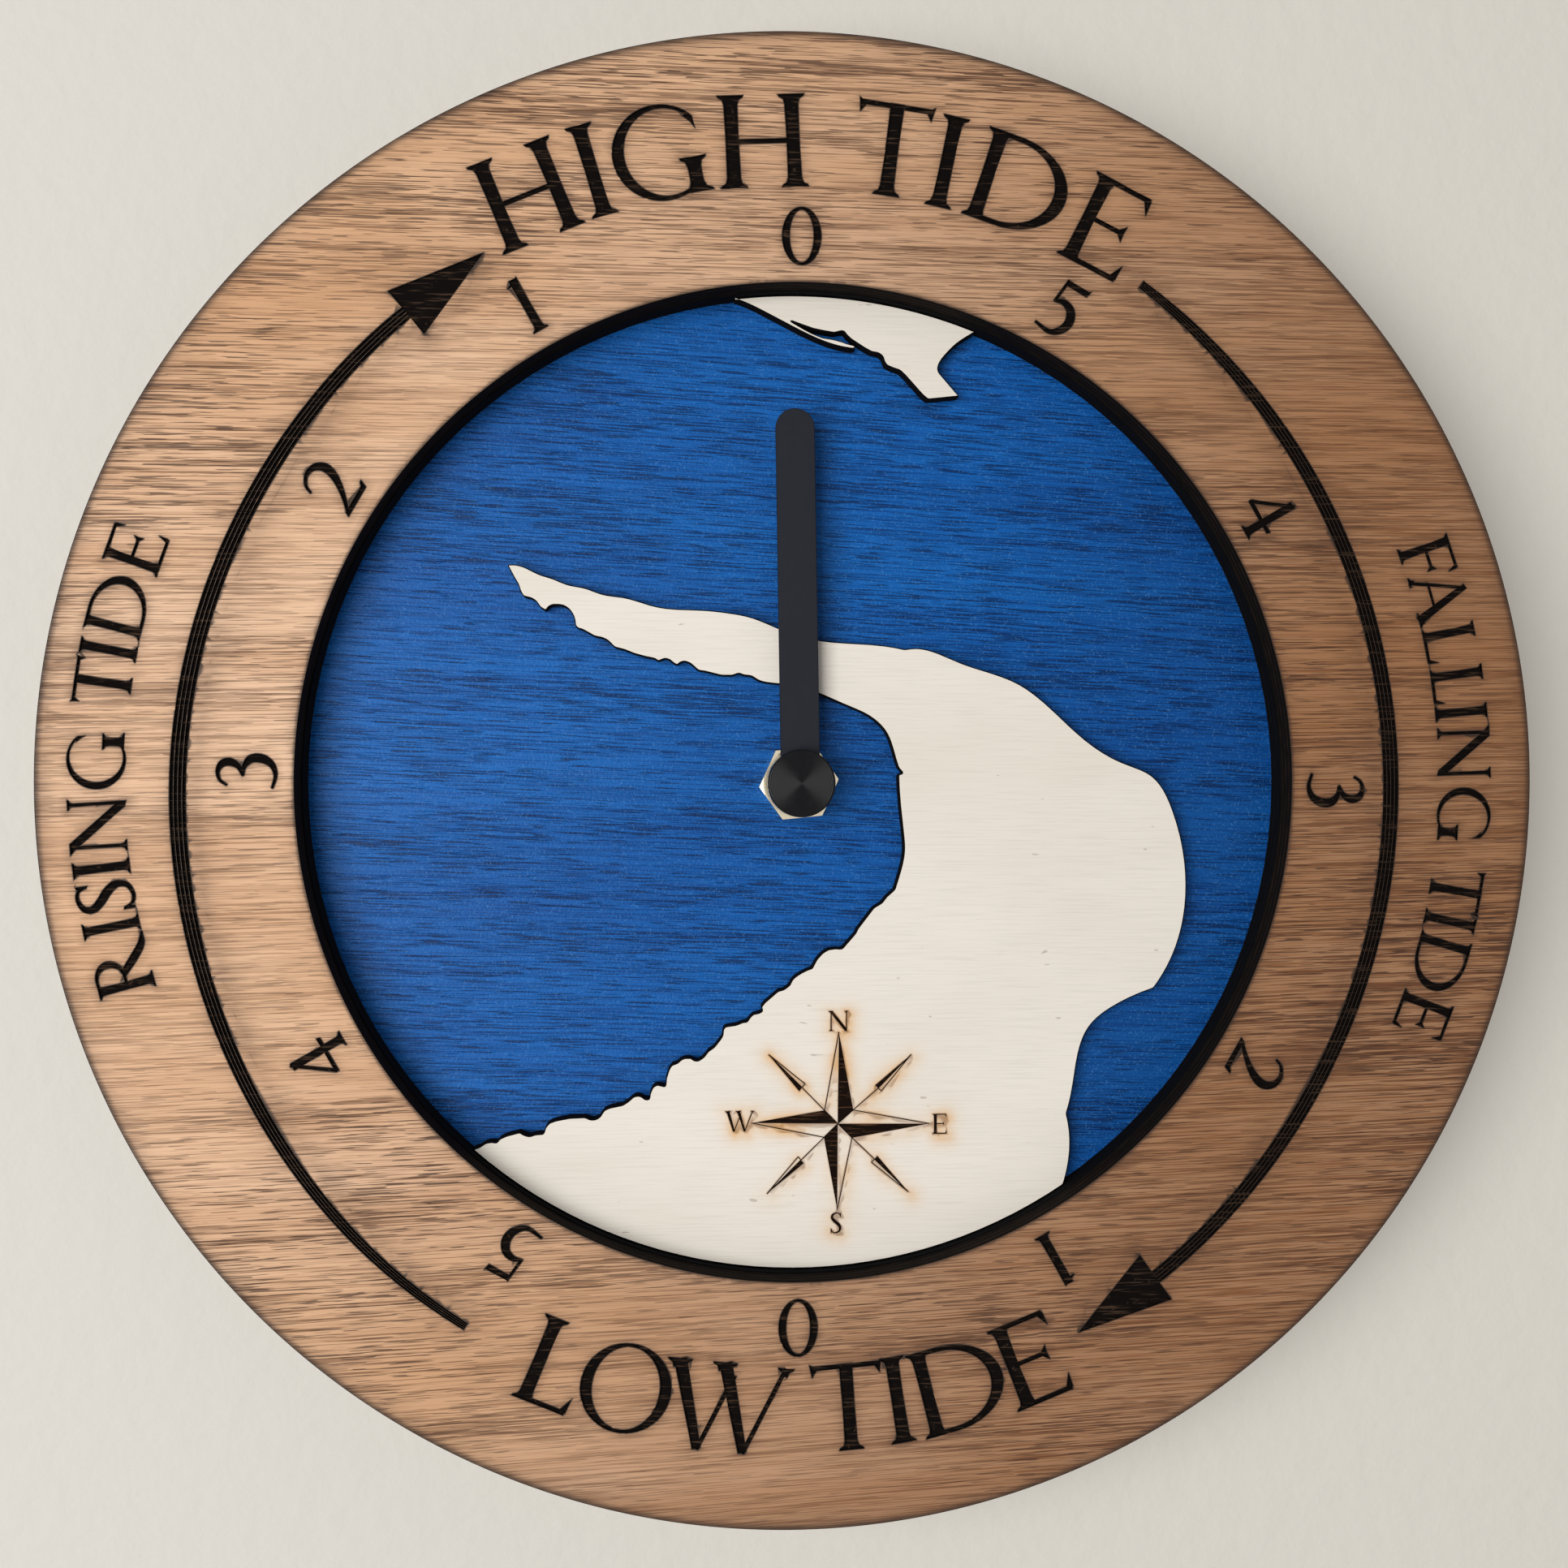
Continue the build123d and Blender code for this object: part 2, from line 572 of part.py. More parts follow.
def make_back_cover():
    """Lid over the works, with pivot bosses, a well for the knob, lips and clips."""
    cover = extrude(case_outline(), COVER_T)
    cover -= block(-case_x, case_x, case_low, bay_high, 0, COVER_T)
    lip_top = COVER_T + LIP_H
    lip_y = inner_top - LIP_GAP
    lip_low = chamber_low + LIP_GAP
    half = LIP_LENGTH / 2
    cover += block(-half, half, lip_y - LIP_T, lip_y, COVER_T, lip_top)
    cover += block(-half, half, lip_low, lip_low + LIP_T, COVER_T, lip_top)
    clip_top = COVER_T + CLIP_H
    for side in (-1, 1):
        outer = side * (inner_x - LIP_GAP)
        left, right = sorted((outer, outer - side * LIP_T))
        cover += block(left, right, -CLIP_W / 2, CLIP_W / 2, COVER_T, clip_top)
        left, right = sorted((outer, outer + side * CLIP_BARB))
        cover += block(left, right, -CLIP_W / 2, CLIP_W / 2, clip_top - CLIP_BARB_H, clip_top)
    pivots = (
        (CENTRE, SECOND_PIVOT_R), (third_at, PIVOT_R), (intermediate_at, PIVOT_R),
        (rotor_at, ROTOR_PIVOT_R),
    )
    for at, pivot_r in pivots:
        boss, hole = pivot_boss(at, pivot_r)
        cover = cover + boss - hole
    well_depth = KNOB_SINK + KNOB_T + KNOB_GAP
    cover += disc(well_r + WELL_WALL, COVER_T, well_depth + WELL_FLOOR_T, setting_at)
    cover -= disc(well_r, 0, well_depth, setting_at)
    return cover - pin(SETTING_ARBOR_R + PIVOT_FIT, 0, well_depth + WELL_FLOOR_T, setting_at)


def make_train_bridge():
    """Plate on three posts that carries the front pivots of the going train."""
    points = [*BRIDGE_POSTS, works_at, rotor_at]
    outline = make_hull([Pos(*at) * Circle(BRIDGE_RIM).edge() for at in points])
    bridge = plate(outline, bridge_back, bridge_front)
    holes = [(CENTRE, CANNON_JOURNAL_R + PIVOT_FIT), (rotor_at, ROTOR_PIVOT_R + PIVOT_FIT)]
    holes += [(at, PIVOT_R + PIVOT_FIT) for at in (works_at, third_at, intermediate_at)]
    holes += [(at, POST_PIN_R + POST_FIT) for at in BRIDGE_POSTS]
    for at, radius in holes:
        bridge -= pin(radius, bridge_back, bridge_front, at)
    return bridge


# Phases of the meshed gears, from the hour wheel and from the second wheel outwards
hour_phase = 0.0
works_pinion_phase = meshed_phase(hour_phase, HOUR_TEETH, CENTRE, WORKS_PINION_TEETH, works_at)
works_wheel_phase = 0.0
cannon_phase = meshed_phase(works_wheel_phase, WORKS_WHEEL_TEETH, works_at, CANNON_TEETH, CENTRE)
setting_phase = meshed_phase(
    works_wheel_phase, WORKS_WHEEL_TEETH, works_at, SETTING_TEETH, setting_at)
second_phase = 0.0
intermediate_pinion_phase = meshed_phase(
    second_phase, SECOND_TEETH, CENTRE, INTERMEDIATE_PINION_TEETH, intermediate_at)
intermediate_phase = 0.0
rotor_phase = meshed_phase(
    intermediate_phase, INTERMEDIATE_TEETH, intermediate_at, ROTOR_TEETH, rotor_at)
second_pinion_phase = 0.0
third_phase = meshed_phase(
    second_pinion_phase, SECOND_PINION_TEETH, CENTRE, THIRD_TEETH, third_at)
third_pinion_phase = 0.0
centre_phase = meshed_phase(
    third_pinion_phase, THIRD_PINION_TEETH, third_at, CENTRE_TEETH, CENTRE)


# Setting works
def make_hour_wheel():
    wheel = gear(HOUR_TEETH, hour_module, hour_phase, hour_wheel_back, hour_wheel_front)
    wheel += disc(HOUR_HUB_R, hour_wheel_front, hour_front)
    wheel += disc(HOUR_TUBE_R, hour_front, hand_front)
    return wheel - disc(HOUR_BORE_R, hour_wheel_back, hand_front)


def make_minute_works_wheel():
    pinion_front = hour_wheel_front + PINION_OVERHANG
    wheel = gear(WORKS_WHEEL_TEETH, WORKS_MODULE, works_wheel_phase, works_back, works_front,
                 works_at)
    wheel += gear(WORKS_PINION_TEETH, hour_module, works_pinion_phase, works_front, pinion_front,
                  works_at)
    wheel += pin(PIVOT_R, pinion_front, plate_back + PIVOT_DEPTH - BOSS_H / 2 - END_SHAKE,
                 works_at)
    return wheel + pin(PIVOT_R, bridge_back + END_SHAKE, works_back, works_at)


def make_cannon_pinion():
    """Pinion on a stem that steadies the hour tube and carries the centre wheel behind."""
    pinion_back = works_back - PINION_OVERHANG / 2
    pinion_front = works_front + PINION_OVERHANG / 2
    cannon = gear(CANNON_TEETH, WORKS_MODULE, cannon_phase, pinion_back, pinion_front)
    stem_r = HOUR_BORE_R - PIVOT_FIT
    cannon += pin(stem_r, pinion_front, pinion_front + CANNON_STEM_LENGTH)
    cannon += pin(CANNON_JOURNAL_R, clutch_front, pinion_back)
    cannon += pin(CANNON_SEAT_R, collar_back, clutch_front)
    cannon += pin(CANNON_COLLAR_R, collar_back, collar_back + CANNON_COLLAR_T)
    return cannon - pin(SECOND_PIVOT_R + PIVOT_FIT, collar_back, collar_back + CANNON_HOLE_DEPTH)


def make_clutch_washer():
    washer = disc(CLUTCH_R, clutch_front - CLUTCH_T, clutch_front)
    return washer - pin(CANNON_SEAT_R + PIVOT_FIT, clutch_front - CLUTCH_T, clutch_front)


def make_setting_pinion():
    pinion_back = works_back - PINION_OVERHANG
    pinion_front = works_front + PINION_OVERHANG
    arbor = gear(SETTING_TEETH, WORKS_MODULE, setting_phase, pinion_back, pinion_front, setting_at)
    arbor += pin(SETTING_ARBOR_R, KNOB_SINK + KNOB_GAP, pinion_back, setting_at)
    tip = plate_back + PIVOT_DEPTH - BOSS_H / 2 - END_SHAKE
    arbor += pin(SETTING_ARBOR_R, pinion_front, plate_back - END_SHAKE, setting_at)
    return arbor + pin(PIVOT_R, plate_back - END_SHAKE, tip, setting_at)


def make_setting_knob():
    """Fluted finger wheel sunk in the well of the back cover."""
    steps = 2 * KNOB_FLUTES
    outline = [
        polar(360 * step / steps, KNOB_R - KNOB_FLUTE_DEPTH * (step % 2)) for step in range(steps)
    ]
    knob = Pos(*setting_at) * plate(Polygon(*outline, align=None), KNOB_SINK, KNOB_SINK + KNOB_T)
    return knob - pin(SETTING_ARBOR_R, KNOB_SINK + KNOB_GAP, KNOB_SINK + KNOB_T, setting_at)


# Going train
def make_centre_wheel():
    wheel = gear(CENTRE_TEETH, centre_module, centre_phase, centre_back, centre_front)
    return wheel - pin(CANNON_SEAT_R + PIVOT_FIT, centre_back, centre_front)


def make_third_wheel():
    pinion_back = centre_back - PINION_OVERHANG
    pinion_front = centre_front + PINION_OVERHANG
    wheel = gear(THIRD_TEETH, THIRD_MODULE, third_phase, third_back, third_front, third_at)
    wheel += pin(PIVOT_R, third_front, pinion_back, third_at)
    wheel += gear(THIRD_PINION_TEETH, centre_module, third_pinion_phase, pinion_back, pinion_front,
                  third_at)
    wheel += pin(PIVOT_R, pinion_front, bridge_front - END_SHAKE, third_at)
    wheel += disc(WHEEL_HUB_R, boss_front + END_SHAKE, third_back, third_at)
    return wheel + pin(PIVOT_R, pivot_back, boss_front + END_SHAKE, third_at)


def make_second_wheel():
    pinion_back = third_back - PINION_OVERHANG
    wheel = gear(SECOND_TEETH, SECOND_MODULE, second_phase, second_back, second_front)
    wheel += pin(SECOND_PIVOT_R, second_front, pinion_back)
    wheel += gear(SECOND_PINION_TEETH, THIRD_MODULE, second_pinion_phase, pinion_back,
                  second_pinion_front)
    pivot_front = collar_back + CANNON_HOLE_DEPTH - END_SHAKE
    wheel += pin(SECOND_PIVOT_R, second_pinion_front, pivot_front)
    wheel += pin(WHEEL_HUB_R, boss_front + END_SHAKE, second_back)
    return wheel + pin(SECOND_PIVOT_R, pivot_back, boss_front + END_SHAKE)


def make_intermediate_wheel():
    pinion_back = second_back - PINION_OVERHANG
    pinion_front = second_front + PINION_OVERHANG
    wheel_back = third_back - ROTOR_DROP
    wheel_front = wheel_back + WHEEL_T
    at = intermediate_at
    wheel = gear(INTERMEDIATE_TEETH, ROTOR_MODULE, intermediate_phase, wheel_back, wheel_front, at)
    wheel += pin(PIVOT_R, pinion_front, wheel_back, at)
    wheel += gear(INTERMEDIATE_PINION_TEETH, SECOND_MODULE, intermediate_pinion_phase,
                  pinion_back, pinion_front, at)
    wheel += disc(PIVOT_R, wheel_front, bridge_front - END_SHAKE, at)
    return wheel + pin(PIVOT_R, pivot_back, pinion_back, at)


def rotor_levels():
    """Back and front of the rotor's pinion and of its magnet."""
    pinion_back = third_back - ROTOR_DROP - PINION_OVERHANG
    pinion_front = third_back - ROTOR_DROP + WHEEL_T + PINION_OVERHANG
    magnet_back = core_back - STATOR_T / 2 - MAGNET_T / 2
    return pinion_back, pinion_front, magnet_back, magnet_back + MAGNET_T


def make_rotor_pinion():
    pinion_back, pinion_front, magnet_back, magnet_front = rotor_levels()
    rotor = gear(ROTOR_TEETH, ROTOR_MODULE, rotor_phase, pinion_back, pinion_front, rotor_at)
    rotor += pin(ROTOR_PIVOT_R, pinion_front, bridge_front - END_SHAKE, rotor_at)
    return rotor + pin(ROTOR_PIVOT_R, pivot_back, pinion_back, rotor_at)


def make_rotor_magnet():
    pinion_back, pinion_front, magnet_back, magnet_front = rotor_levels()
    magnet = disc(MAGNET_R, magnet_back, magnet_front, rotor_at)
    return magnet - pin(ROTOR_PIVOT_R, magnet_back, magnet_front, rotor_at)


# Stepping motor
def arm(start, end, width):
    """Flat bar with round ends between two points."""
    run = math.hypot(end[0] - start[0], end[1] - start[1])
    angle = math.degrees(math.atan2(end[1] - start[1], end[0] - start[0]))
    middle = Pos((start[0] + end[0]) / 2, (start[1] + end[1]) / 2)
    return middle * Rot(0, 0, angle) * SlotCenterToCenter(run, width)


def make_stator():
    """Bar round the rotor with two arms up to the ends of the coil core."""
    outline = Pos(*rotor_at) * Circle(STATOR_RING_R)
    for at in pegs_at:
        elbow = (at[0], rotor_at[1])
        outline += arm(rotor_at, elbow, STATOR_ARM_W) + arm(elbow, at, STATOR_ARM_W)
        outline -= Pos(*at) * RegularPolygon(PEG_PIN_R + POST_FIT, PIN_SIDES)
    outline -= Pos(*rotor_at) * Circle(MAGNET_R + ROTOR_AIR_GAP)
    return plate(outline, core_back - STATOR_T, core_back)


def make_coil_core():
    outline = arm(pegs_at[0], pegs_at[1], CORE_W)
    for at in pegs_at:
        outline -= Pos(*at) * RegularPolygon(PEG_PIN_R + POST_FIT, PIN_SIDES)
    return plate(outline, core_back, core_front)


def coil_bar(radius, length, x):
    """Round bar along the coil, centred on its core."""
    return Pos(x, coil_y, core_z) * Rot(0, 90, 0) * Cylinder(radius, length)


def make_coil_bobbin():
    middle = rotor_at[0]
    bobbin = coil_bar(BOBBIN_TUBE_R, BOBBIN_LENGTH, middle)
    for side in (-1, 1):
        flange_x = middle + side * (BOBBIN_LENGTH - BOBBIN_FLANGE_T) / 2
        bobbin += coil_bar(BOBBIN_FLANGE_R, BOBBIN_FLANGE_T, flange_x)
    slot = Box(2 * BOBBIN_LENGTH, CORE_W + 2 * CORE_FIT, CORE_T + 2 * CORE_FIT)
    return bobbin - Pos(middle, coil_y, core_z) * slot


def make_coil_winding():
    middle = rotor_at[0]
    length = BOBBIN_LENGTH - 2 * BOBBIN_FLANGE_T
    return coil_bar(WINDING_R, length, middle) - coil_bar(BOBBIN_TUBE_R, length, middle)


# Circuit
def make_circuit_board():
    board = block(board_left, board_right, board_low, board_top, board_back, board_front)
    for at in board_posts:
        board -= pin(BOARD_PIN_R + POST_FIT, board_back, board_front, at)
    return board


def make_timer_chip():
    """Drop of black resin over the chip."""
    at = (board_left + CHIP_AT[0], board_low + CHIP_AT[1])
    drop = disc(CHIP_R, board_back - CHIP_H, board_back, at)
    return chamfer(drop.edges().group_by(Axis.Z)[0], CHIP_EDGE)


def make_quartz_crystal():
    at = (board_left + CRYSTAL_AT[0], board_low + CRYSTAL_AT[1])
    can = Cylinder(CRYSTAL_R, CRYSTAL_LENGTH)
    return Pos(at[0], at[1], board_back - CRYSTAL_R) * Rot(0, 90, 0) * can


# Cell and contacts
def make_battery_cell():
    """AA cell lying across the bay, positive end to the right."""
    body_length = CELL_LENGTH - CELL_NUB_LENGTH
    nub_end = inner_x - STRIP_T - 2 * STRIP_GAP
    can = Cylinder(CELL_R, body_length, align=(Align.CENTER, Align.CENTER, Align.MIN))
    can = chamfer(can.edges().filter_by(GeomType.CIRCLE), CELL_EDGE)
    nub = Cylinder(CELL_NUB_R, CELL_NUB_LENGTH, align=(Align.CENTER, Align.CENTER, Align.MIN))
    cell = can + Pos(0, 0, body_length) * nub
    return Pos(nub_end - CELL_LENGTH, cell_at[0], cell_at[1]) * Rot(0, 90, 0) * cell


def make_positive_contact():
    """Strip up the right wall, with a tab folded onto the circuit board."""
    outer = inner_x - STRIP_GAP
    top = board_low + TAB_W + TAB_INSET
    high = STRIP_LOW + STRIP_W
    strip = block(outer - STRIP_T, outer, bay_low + STRIP_END, top, STRIP_LOW, high)
    tab_back = board_back - STRIP_T
    return strip + block(outer - TAB_LENGTH, outer, top - TAB_W, top, tab_back, board_back)


def make_negative_contact():
    """Strip up the left wall and along the top, with a bowed spring against the cell."""
    outer = -inner_x + STRIP_GAP
    high = STRIP_LOW + STRIP_W
    top = inner_top - STRIP_GAP
    reach = board_left + TAB_W + TAB_INSET
    strip = block(outer, outer + STRIP_T, bay_low + STRIP_END, top, STRIP_LOW, high)
    strip += block(outer, reach, top - STRIP_T, top, STRIP_LOW, high)
    strip += block(reach - TAB_W, reach, top - TAB_LENGTH, top, board_back - STRIP_T, board_back)
    cell_end = inner_x - STRIP_T - 2 * STRIP_GAP - CELL_LENGTH
    foot_x = outer + STRIP_T
    bow = cell_end - STRIP_GAP - foot_x
    low, up = [(foot_x, cell_at[0] + side * SPRING_SPAN / 2) for side in (-1, 1)]
    inner_low = (foot_x, low[1] + SPRING_FOOT)
    inner_up = (foot_x, up[1] - SPRING_FOOT)
    leaf = make_face([
        bowed(low, up, -bow), Line(up, inner_up),
        bowed(inner_up, inner_low, bow - STRIP_T), Line(inner_low, low),
    ])
    return strip + plate(leaf, STRIP_LOW, high)


pieces = {
    "face_ring": make_face_ring(),
    "spacer_ring": make_spacer_ring(),
    "back_disc": make_back_disc(),
    "land_south": make_land_south(),
    "land_north": make_land_north(),
    "mounting_nut": make_mounting_nut(),
    "rubber_gasket": make_rubber_gasket(),
    "threaded_bush": make_threaded_bush(),
    "hand_collet": make_hand_collet(),
    "tide_hand": make_tide_hand(),
    "hub_cap": make_hub_cap(),
    "movement_case": make_movement_case(),
    "back_cover": make_back_cover(),
    "train_bridge": make_train_bridge(),
    "hour_wheel": make_hour_wheel(),
    "minute_works_wheel": make_minute_works_wheel(),
    "cannon_pinion": make_cannon_pinion(),
    "clutch_washer": make_clutch_washer(),
    "setting_pinion": make_setting_pinion(),
    "setting_knob": make_setting_knob(),
    "centre_wheel": make_centre_wheel(),
    "third_wheel": make_third_wheel(),
    "second_wheel": make_second_wheel(),
    "intermediate_wheel": make_intermediate_wheel(),
    "rotor_pinion": make_rotor_pinion(),
    "rotor_magnet": make_rotor_magnet(),
    "stator": make_stator(),
    "coil_core": make_coil_core(),
    "coil_bobbin": make_coil_bobbin(),
    "coil_winding": make_coil_winding(),
    "circuit_board": make_circuit_board(),
    "timer_chip": make_timer_chip(),
    "quartz_crystal": make_quartz_crystal(),
    "battery_cell": make_battery_cell(),
    "positive_contact": make_positive_contact(),
    "negative_contact": make_negative_contact(),
}

os.makedirs("parts", exist_ok=True)
for name, piece in pieces.items():
    export_step(Rot(90, 0, 0) * piece, f"parts/{name}.step")
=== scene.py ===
import math

import bmesh
import bpy
import numpy as np
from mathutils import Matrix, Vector
from mathutils.geometry import delaunay_2d_cdt
from mathutils.kdtree import KDTree


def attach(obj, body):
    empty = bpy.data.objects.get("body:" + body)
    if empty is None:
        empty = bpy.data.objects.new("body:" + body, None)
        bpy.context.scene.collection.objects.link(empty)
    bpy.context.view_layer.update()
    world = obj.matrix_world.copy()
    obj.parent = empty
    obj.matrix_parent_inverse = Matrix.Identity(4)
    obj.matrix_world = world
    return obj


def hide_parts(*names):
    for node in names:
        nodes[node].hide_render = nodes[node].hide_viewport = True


# Wall tide clock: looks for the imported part.  Drawing sizes are millimetres, seen from the
# front (x right, z up, the dial faces -Y); meshes are written in metres.
MM = 0.001

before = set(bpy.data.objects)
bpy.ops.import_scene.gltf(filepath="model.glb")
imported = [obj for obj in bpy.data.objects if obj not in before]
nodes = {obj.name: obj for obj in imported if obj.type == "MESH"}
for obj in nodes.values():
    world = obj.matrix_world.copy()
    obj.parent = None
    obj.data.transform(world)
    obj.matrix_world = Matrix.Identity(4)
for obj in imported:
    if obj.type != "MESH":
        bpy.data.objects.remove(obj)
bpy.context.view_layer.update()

# Camera: where the photograph was taken from
CAMERA_AT = (-19.852, -313.39, 2.372)
CAMERA_AIM = (0.0595, 0.9982, -0.0087)
CAMERA_LENS = 38.385
SENSOR = 36.0

# Depths of the dial, measured from the wall
FACE_FRONT = -30.8
FACE_BACK = -26.3
LAND_FRONT = -24.8
LAND_BACK = -21.8
HAND_FRONT = -28.4
HAND_BACK = -27.6
CAP_FRONT = -31.4
DIAL_R = 127.0
BORE_R = 84.65
CARVE_DEPTH = 0.45
COMPASS_DEPTH = 0.3

# Meshing: height of an even triangle, joining distance in metres, steps across one turned groove
ROW_STEP = 0.87
SEAM = 0.000001
STEPS_PER_GROOVE = 8.0


# Flat drawing
def polar(degrees, radius, at=(0.0, 0.0)):
    """Point at a clock angle, counted clockwise from the top."""
    turn = math.radians(degrees)
    return (at[0] + radius * math.sin(turn), at[1] + radius * math.cos(turn))


def circle(radius, count=360):
    """Closed round outline, counter-clockwise as seen from the front."""
    turn = np.linspace(0, 2 * math.pi, count, endpoint=False)
    return np.c_[radius * np.cos(turn), radius * np.sin(turn)]


def smooth(points, per_span=6):
    """Points along a soft curve through the given ones."""
    points = np.asarray(points, float)
    padded = np.vstack([2 * points[0] - points[1], points, 2 * points[-1] - points[-2]])
    made = []
    for k in range(1, len(padded) - 2):
        a, b, c, d = padded[k - 1 : k + 3]
        bend = 2 * a - 5 * b + 4 * c - d
        twist = 3 * b - a - 3 * c + d
        for t in np.arange(per_span) / per_span:
            made.append(0.5 * (2 * b + (c - a) * t + bend * t * t + twist * t**3))
    made.append(padded[-2])
    return np.array(made)


def stroke(rows, per_span=6):
    """Outline of a pen stroke given as rows of x, y and width."""
    line = smooth(rows, per_span)
    along = np.gradient(line[:, :2], axis=0)
    along /= np.linalg.norm(along, axis=1)[:, None]
    side = np.c_[-along[:, 1], along[:, 0]] * line[:, 2:3] / 2
    return np.vstack([line[:, :2] + side, (line[:, :2] - side)[::-1]])


def bar(start, end, width, end_width=None):
    """Straight stroke between two points."""
    start, end = np.array(start, float), np.array(end, float)
    along = (end - start) / np.linalg.norm(end - start)
    side = np.array([-along[1], along[0]]) / 2
    last = width if end_width is None else end_width
    return np.array(
        [start - side * width, end - side * last, end + side * last, start + side * width]
    )


def oval(at, rx, ry, start=0.0, end=360.0, count=48, tilt=0.0):
    """Points on an ellipse, counter-clockwise from x, in degrees."""
    whole = abs(end - start) >= 360
    turn = np.radians(np.linspace(start, end, count, endpoint=not whole))
    x, y = rx * np.cos(turn), ry * np.sin(turn)
    c, s = math.cos(math.radians(tilt)), math.sin(math.radians(tilt))
    return np.c_[at[0] + c * x - s * y, at[1] + s * x + c * y]


# Roman capitals and figures, one unit high.  Each mark is an outline with its holes.
STEM = 0.15
THIN = 0.052
SERIF = 0.07


def foot(x, y, up, width=STEM, left=SERIF, right=SERIF):
    """Bracketed serif across the end of a stem; up is 1 at the bottom and -1 at the top."""
    a, b = x - width / 2, x + width / 2
    points = [(a - left, 0), (b + right, 0), (b + right * 0.85, 0.022), (b + right * 0.2, 0.05)]
    points += [(b, 0.1), (a, 0.1), (a - left * 0.2, 0.05), (a - left * 0.85, 0.022)]
    return np.array([(px, y + up * py) for px, py in points])


def stem(x, width=STEM, low=0.0, high=1.0, bottom=True, top=True):
    """Upright with slightly waisted sides and serifs."""
    half, waist = width / 2, width * 0.46
    middle = (low + high) / 2
    points = [(x - half, low), (x + half, low), (x + waist, middle), (x + half, high)]
    points += [(x - half, high), (x - waist, middle)]
    marks = [np.array(points)]
    if bottom:
        marks.append(foot(x, low, 1, width))
    if top:
        marks.append(foot(x, high, -1, width))
    return marks


def arm(x0, x1, y, tip, thick=THIN):
    """Thin arm to the right with a wedge at its end; tip is how far the wedge drops or rises."""
    middle = y + thick / 2
    marks = [np.array([(x0, y), (x1, y), (x1, y + thick), (x0, y + thick)])]
    for drop in tip:
        marks.append(
            np.array([(x1 - 0.075, middle), (x1 + 0.012, middle), (x1 + 0.02, middle + drop)])
        )
    return marks


def whole(outlines):
    """Marks without holes."""
    return [(outline, ()) for outline in outlines]


